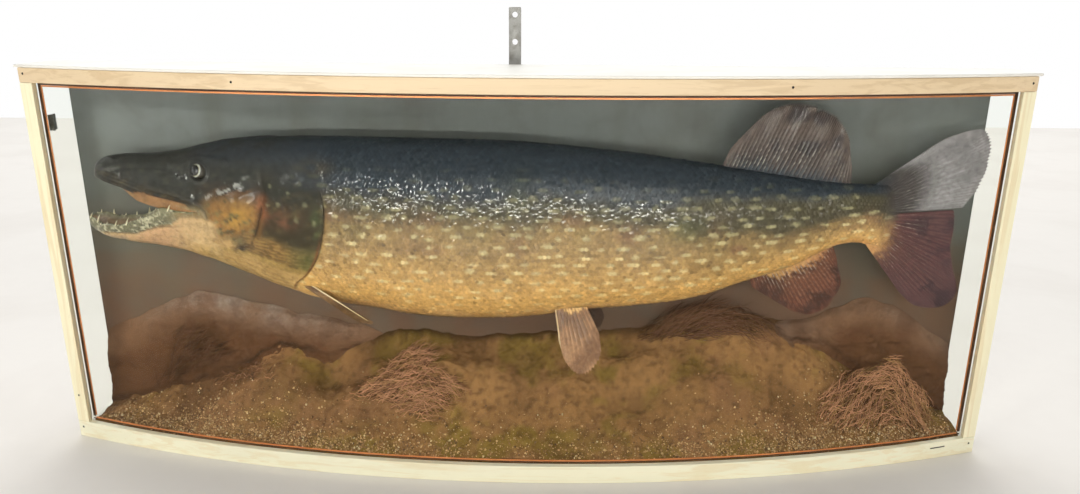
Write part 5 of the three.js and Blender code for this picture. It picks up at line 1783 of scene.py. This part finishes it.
def make_fin(name, fin, rays, painter, slot, seed, thick, wave, ragged, rows=42, lean=1.0):
    """A fin as a closed two-sided sheet between its root and its edge, with a ridge for each ray."""
    u = np.linspace(0, 1, rays * RAY_COLUMNS + 1)
    v = np.linspace(0, 1, rows + 1) ** 0.92
    inner, outer = catmull(fin["root"], u), catmull(fin["edge"], u ** lean)
    flat = inner.shape[1] == 2
    if flat:
        inner, outer = (stack(p[:, 0], middle_y(p[:, 0]), p[:, 1]) for p in (inner, outer))
    uu, vv = np.meshgrid(u, v, indexing="ij")
    phase = uu * rays
    ridge = ray_ridge(phase, vv)
    torn = np.maximum(0, noise(stack(u * rays * 0.7, 0 * u, 0 * u), 1.0, seed + 3) - 0.25)
    reach = 1 - ragged * (1 - ridge) * 1.3 - (ragged * 2.2 * torn)[:, None] * (1 - 0.6 * ridge)
    length = mix(1, reach, smooth(0.55, 1.0, vv)) * vv
    points = mix(inner[:, None], outer[:, None], length[..., None])
    normal = unit(np.cross(np.gradient(points, axis=0), np.gradient(points, axis=1)))
    facing = np.array([0, -1, 0]) if flat else normal.mean((0, 1))
    normal = np.where((normal @ facing)[..., None] < 0, -normal, normal)
    folds = wave * vv * (rough(stack(uu * rays / 5.0, vv * 1.4, 0 * uu), 1.0, seed, 2)
                         + 0.35 * np.sin(uu * rays * 1.1 + seed))
    points = points + normal * folds[..., None]
    bone = mix(thick[0], thick[1], smooth(0, 1, vv)) / 2
    half = np.minimum(bone, 0.28 + bone * (0.25 + 0.75 * ridge))
    half = half * mix(1, 0.55, smooth(0.93, 1.0, vv))
    joints = 0.05 * np.sin(vv * 150 + 3 * phase.astype(int)) * ridge * smooth(0.25, 0.5, vv)
    out = normal * (half + joints)[..., None]
    size = uu.shape
    count = uu.size
    faces = [*grid(*size).tolist(), *grid(*size, start=count)[:, ::-1].tolist()]
    loop = border(*size)
    faces += [[p, q, q + count, p + count] for p, q in zip(loop, loop[1:] + loop[:1])]
    tone = painter(points, uu, vv, ridge)
    tone = np.clip(np.concatenate([tone, tone]).reshape(-1, 3), 0.003, 1)
    material = toned(f"{name}_skin", 0.5, 0.25, 170.0, 0.4, 0.4, 0.2, (44, 36, 30), coat_weight=0.5,
                     coat_roughness=0.12, specular_ior_level=0.1)
    both = np.concatenate([points + out, points - out]).reshape(-1, 3)
    add_piece(f"{name}_rays", both, faces, material, slot, [name], tone, crease=70)


def fin_paint(base, tip, ray, dark, seed, edge=None, cloudy=0.6, bare=0.30, glints=0.0, furrows=0.3,
              fade=(0.1, 0.95)):
    """A painter: body colour at the root, then membrane, rays and dark clouds, painted highlights on the
    rays, and a pale front edge.
    """
    def paint(points, u, v, ridge):
        streak = noise(points * (1, 0.3, 1), 3.0, seed + 5)
        grain = noise(points, 1.6, seed + 6)
        cloud = rough(points * (1, 0.3, 1), 20, seed, 3)
        tone = painted(base, tip, smooth(*fade, v))
        tone = painted(tone, dark, cloudy * smooth(-0.2, 0.6, cloud + 0.3 * streak))
        bright = ridge * smooth(0.04, 0.25, v) * (0.45 + 0.35 * smooth(-0.2, 0.5, grain))
        tone = painted(tone, ray, 0.9 * bright * smooth(0.7, -0.1, cloud - 0.4 * grain))
        tone = painted(tone, dark, furrows * smooth(0.4, 0.0, ridge) * smooth(0.75, 0.1, v))
        # Painted highlight: pale dashes on the rays stand in for glints.
        glint_strokes = ridge ** 3 * bell(v - 0.28, 0.22) * smooth(0.0, 0.4, 0.8 * grain + 0.5 * cloud)
        tone = painted(tone, (206, 202, 190), glints * glint_strokes)
        tone = tone * (1 + 0.16 * streak + 0.10 * grain)[..., None]
        at_root = smooth(bare, 0.35 * bare, v + 0.10 * streak + 0.05 * ridge)
        tone = painted(tone, body_tone(points), at_root)
        return painted(tone, edge, smooth(0.085, 0.03, u)) if edge else tone
    return paint


def make_fins():
    painters = {
        "fin_dorsal": fin_paint((66, 58, 55), (86, 74, 68), (96, 84, 78), (38, 35, 37), 601, glints=0.9,
                                cloudy=0.75),
        "fin_anal": fin_paint((112, 72, 50), (84, 48, 37), (134, 88, 64), (50, 32, 27), 607, bare=0.34,
                              glints=0.6),
        # The upper lobe's pale grey tip is partly the fin's own grey and partly a painted reflection.
        "fin_tail_upper": fin_paint((54, 50, 47), (146, 144, 146), (116, 110, 110), (66, 60, 62), 613,
                                    cloudy=0.4, bare=0.42, glints=0.4, fade=(0.32, 0.62)),
        "fin_tail_lower": fin_paint((92, 60, 56), (72, 46, 50), (108, 72, 68), (44, 30, 36), 617, bare=0.40,
                                    glints=0.6),
    }
    for k, (name, fin) in enumerate(FINS.items()):
        wave, ragged, lean = (1.6, 0.012, 1.0) if "tail" in name else (2.4, 0.03, 0.72)
        seed = 11 * k + 5
        make_fin(name, fin, fin["rays"], painters[name], "fin", seed, (2.6, 0.9), wave, ragged, lean=lean)
    blade = fin_paint((128, 96, 62), (112, 84, 56), (150, 116, 80), (70, 48, 32), 631, (226, 206, 166),
                      bare=0.10)
    pale = fin_paint((150, 112, 80), (156, 118, 88), (170, 132, 100), (88, 60, 42), 641, (206, 180, 142),
                     bare=0.08, furrows=0.45)
    far = fin_paint((72, 50, 36), (62, 44, 34), (88, 66, 50), (36, 28, 22), 643)
    mirrored = {key: [(x, 2 * middle_y(x) - y, z) for x, y, z in line] for key, line in PECTORAL.items()}
    for name, fin, painter, rays, seed in (
        ("fin_pectoral_left", PECTORAL, blade, 12, 12), ("fin_pelvic_left", PELVIC, pale, 11, 11),
        ("fin_pelvic_right", PELVIC_FAR, far, 9, 9), ("fin_pectoral_right", mirrored, blade, 12, 15),
    ):
        make_fin(name, fin, rays, painter, "pale_fin", seed, (2.4, 0.8), 1.2, 0.03, 34)


# ---------------- eyes, teeth and tongue

EYE_RINGS = 40
EYE_SIDES = 64
PUPIL = 6.95
# The pupil sits a little forward and up, which leaves the iris as a crescent below and behind it.
PUPIL_SHIFT = (0.75, 0.85)
BIG_TEETH = (-566, -553, -539, -525, -508, -488, -466, -447)


def make_eyes():
    material, w, shader = new_material("eye_glass", 0.25, coat_weight=1.0, coat_roughness=0.07, coat_ior=1.55)
    ring = w.attribute("ring", "Fac")
    flecks = w.grain(w.stretched(w.here(), (1, 1, 1)), 900.0, 2.0)
    pale = w.blend(w.between(flecks, 0.42, 0.66), (176, 180, 174), (128, 128, 112))
    iris = w.blend(w.between(ring, 8.1, 9.0), pale, (60, 56, 48))
    rim = w.blend(w.between(ring, PUPIL + 0.1, PUPIL + 0.7), (150, 144, 112), iris)
    w.set(shader["Base Color"], w.blend(w.between(ring, PUPIL - 0.3, PUPIL + 0.15), (7, 8, 10), rim))
    phi = np.linspace(0, math.pi, EYE_RINGS + 1)[1:-1]
    turn = turns(EYE_SIDES)
    radius = EYE["radius"] - 0.35 + 0.35 * bell(phi, 0.5)
    reach = (radius * np.sin(phi))[:, None]
    for name, side in (("eye_left", -1), ("eye_right", 1)):
        angle = eye_angle(side)
        _, normal, _ = flank_point(np.array([EYE["x"]]), np.array([angle]))
        axis = normal[0] * (1, 1, 0.5) + np.array([-0.30, 0, 0.04])
        axis /= np.linalg.norm(axis)
        middle = middle_y(EYE["x"])
        flank = np.abs(section(EYE["x"], angle)[1] - middle)
        centre = np.array([EYE["x"], middle + side * (flank - EYE["sunk"]), EYE["z"]])
        upright = np.cross(axis, (0, 0, 1.0))
        upright /= np.linalg.norm(upright)
        third = np.cross(axis, upright)
        out = reach[..., None] * (np.cos(turn)[None, :, None] * upright + np.sin(turn)[None, :, None] * third)
        shell = centre + out + (radius * np.cos(phi))[:, None, None] * axis
        poles = centre + axis * np.array([[radius[0]], [-radius[-1]]])
        points = np.concatenate([shell.reshape(-1, 3), poles])
        # The distance of each point from the middle of the pupil, with the back of the eye far off.
        ahead, up = PUPIL_SHIFT
        distance = np.hypot(reach * np.cos(turn) + side * ahead, reach * np.sin(turn) + up)
        distance = np.where(phi[:, None] < math.pi / 2, distance, 12.0)
        masks = {"ring": np.concatenate([distance.ravel(), [math.hypot(*PUPIL_SHIFT), 12.0]])}
        faces = bulb(len(phi), EYE_SIDES, 1)
        add_piece(f"{name}_ball", points, faces, material, "eye", [name], masks=masks)


def eye_angle(side):
    """Angle round the body at which the skin has the height of the eye."""
    top, _, _, wide, upper, _ = outline_values(np.array(float(EYE["x"] + 0.5)), "body")
    a = math.acos(((EYE["z"] - wide) / (top - wide)) ** (upper / 2))
    return a if side < 0 else FULL_TURN - a


def tooth_line(x, side, height, inset=2.6, up=1, base=None):
    """The middle line of a tooth and its radii. It leans back and inward from its base on the rim."""
    rim, half = along(JAW, x, 1), along(JAW, x, 3)
    root = np.array([x, middle_y(x) + side * (half - inset), (rim if base is None else base) - up * 0.8])
    t = np.linspace(0, 1, 7)[:, None]
    back = np.array([1.0, 0, 0]) * height * 0.25
    inward = np.array([0, -side, 0]) * height * 0.28
    line = root + np.array([0, 0, up * height]) * t + (back + inward) * t ** 2
    return line, np.maximum(0.12, (0.12 * height + 0.55) * (1 - t[:, 0]) ** 0.8)


def make_teeth(rng):
    ivory = mottled("tooth_bone", (222, 212, 178), (170, 148, 98), 0.3, 0.35, 300.0, 0.2, 0.2,
                    0.1, coat_weight=0.5, coat_roughness=0.15)
    lines = []
    for side in (-1, 1):
        for k, x in enumerate(BIG_TEETH):
            lines.append(tooth_line(x, side, 5.2 + 2.4 * ((k + 1) % 3) + rng.uniform(-0.5, 0.5)))
        for x in np.arange(-570, -436, 4.4):
            shift, height, inset = (rng.uniform(a, b) for a, b in ((-1, 1), (2.0, 4.0), (1.8, 3.4)))
            lines.append(tooth_line(x + shift, side, height, inset=inset))
        for x in np.arange(-552, -430, 5.2):
            lip, half = along(BILL, x, 2), along(BILL, x, 3)
            inset = half * rng.uniform(0.30, 0.42)
            line, radii = tooth_line(x, side, rng.uniform(2.2, 3.6), up=-1, base=lip + 1.5)
            line[:, 1] += side * (half - inset - (along(JAW, x, 3) - 2.6))
            lines.append((line, radii * 0.8))
    points, faces = tubes(lines, 8)
    add_piece("teeth", points, faces, ivory, "mouth", crease=70)


def make_tongue():
    s = np.linspace(0, math.pi, 30)[1:-1]
    turn = turns(36)
    x = TONGUE["x"] - TONGUE["long"] * 0.96 * np.cos(s)
    width = TONGUE["half"] * 0.96 * np.sin(s) ** 0.6
    y = width[:, None] * np.sin(turn)[None]
    groove = 1 - 0.28 * bell(np.sin(turn) / 0.35, 1.0) * (np.cos(turn) > 0)
    z = TONGUE["thick"] * 0.95 * (np.sin(s) ** 0.7)[:, None] * (np.cos(turn) * groove)[None]
    floor = along(JAW, np.full(1, TONGUE["x"]), 4) + TONGUE["above"]
    z = floor + z + 0.04 * (TONGUE["x"] - x)[:, None]
    shell = stack(x[:, None] + 0 * y, middle_y(x)[:, None] + y, z)
    shell[..., 2] += 0.35 * noise(shell, 4, 701)
    points = np.concatenate([shell.reshape(-1, 3), [shell[0].mean(0), shell[-1].mean(0)]])
    tone = painted((158, 136, 112), (194, 168, 140), smooth(-0.6, 0.6, noise(points, 6, 703)))
    flesh = toned("tongue_flesh", 0.35, 0.3, 200.0, 0.3, 0.5, 0.3, (96, 64, 48), coat_weight=0.6,
                  coat_roughness=0.2)
    faces = bulb(len(s), len(turn), -1)
    add_piece("tongue_flesh", points, faces, flesh, "mouth", ["tongue"], tone)


def make_fish():
    rng = np.random.default_rng(77)
    make_skin()
    gloss = toned("fish_scales", 0.45, 0.2, 220.0, 0.3, 0.15, 0.1, (46, 42, 32), wet="varnish",
                  coat_roughness=0.09, coat_ior=1.8, specular_ior_level=0.1)
    make_scales(rng, gloss)
    make_fins()
    make_eyes()
    make_teeth(rng)
    make_tongue()


make_camera()
make_studio()
make_case()
make_ground()
make_fish()
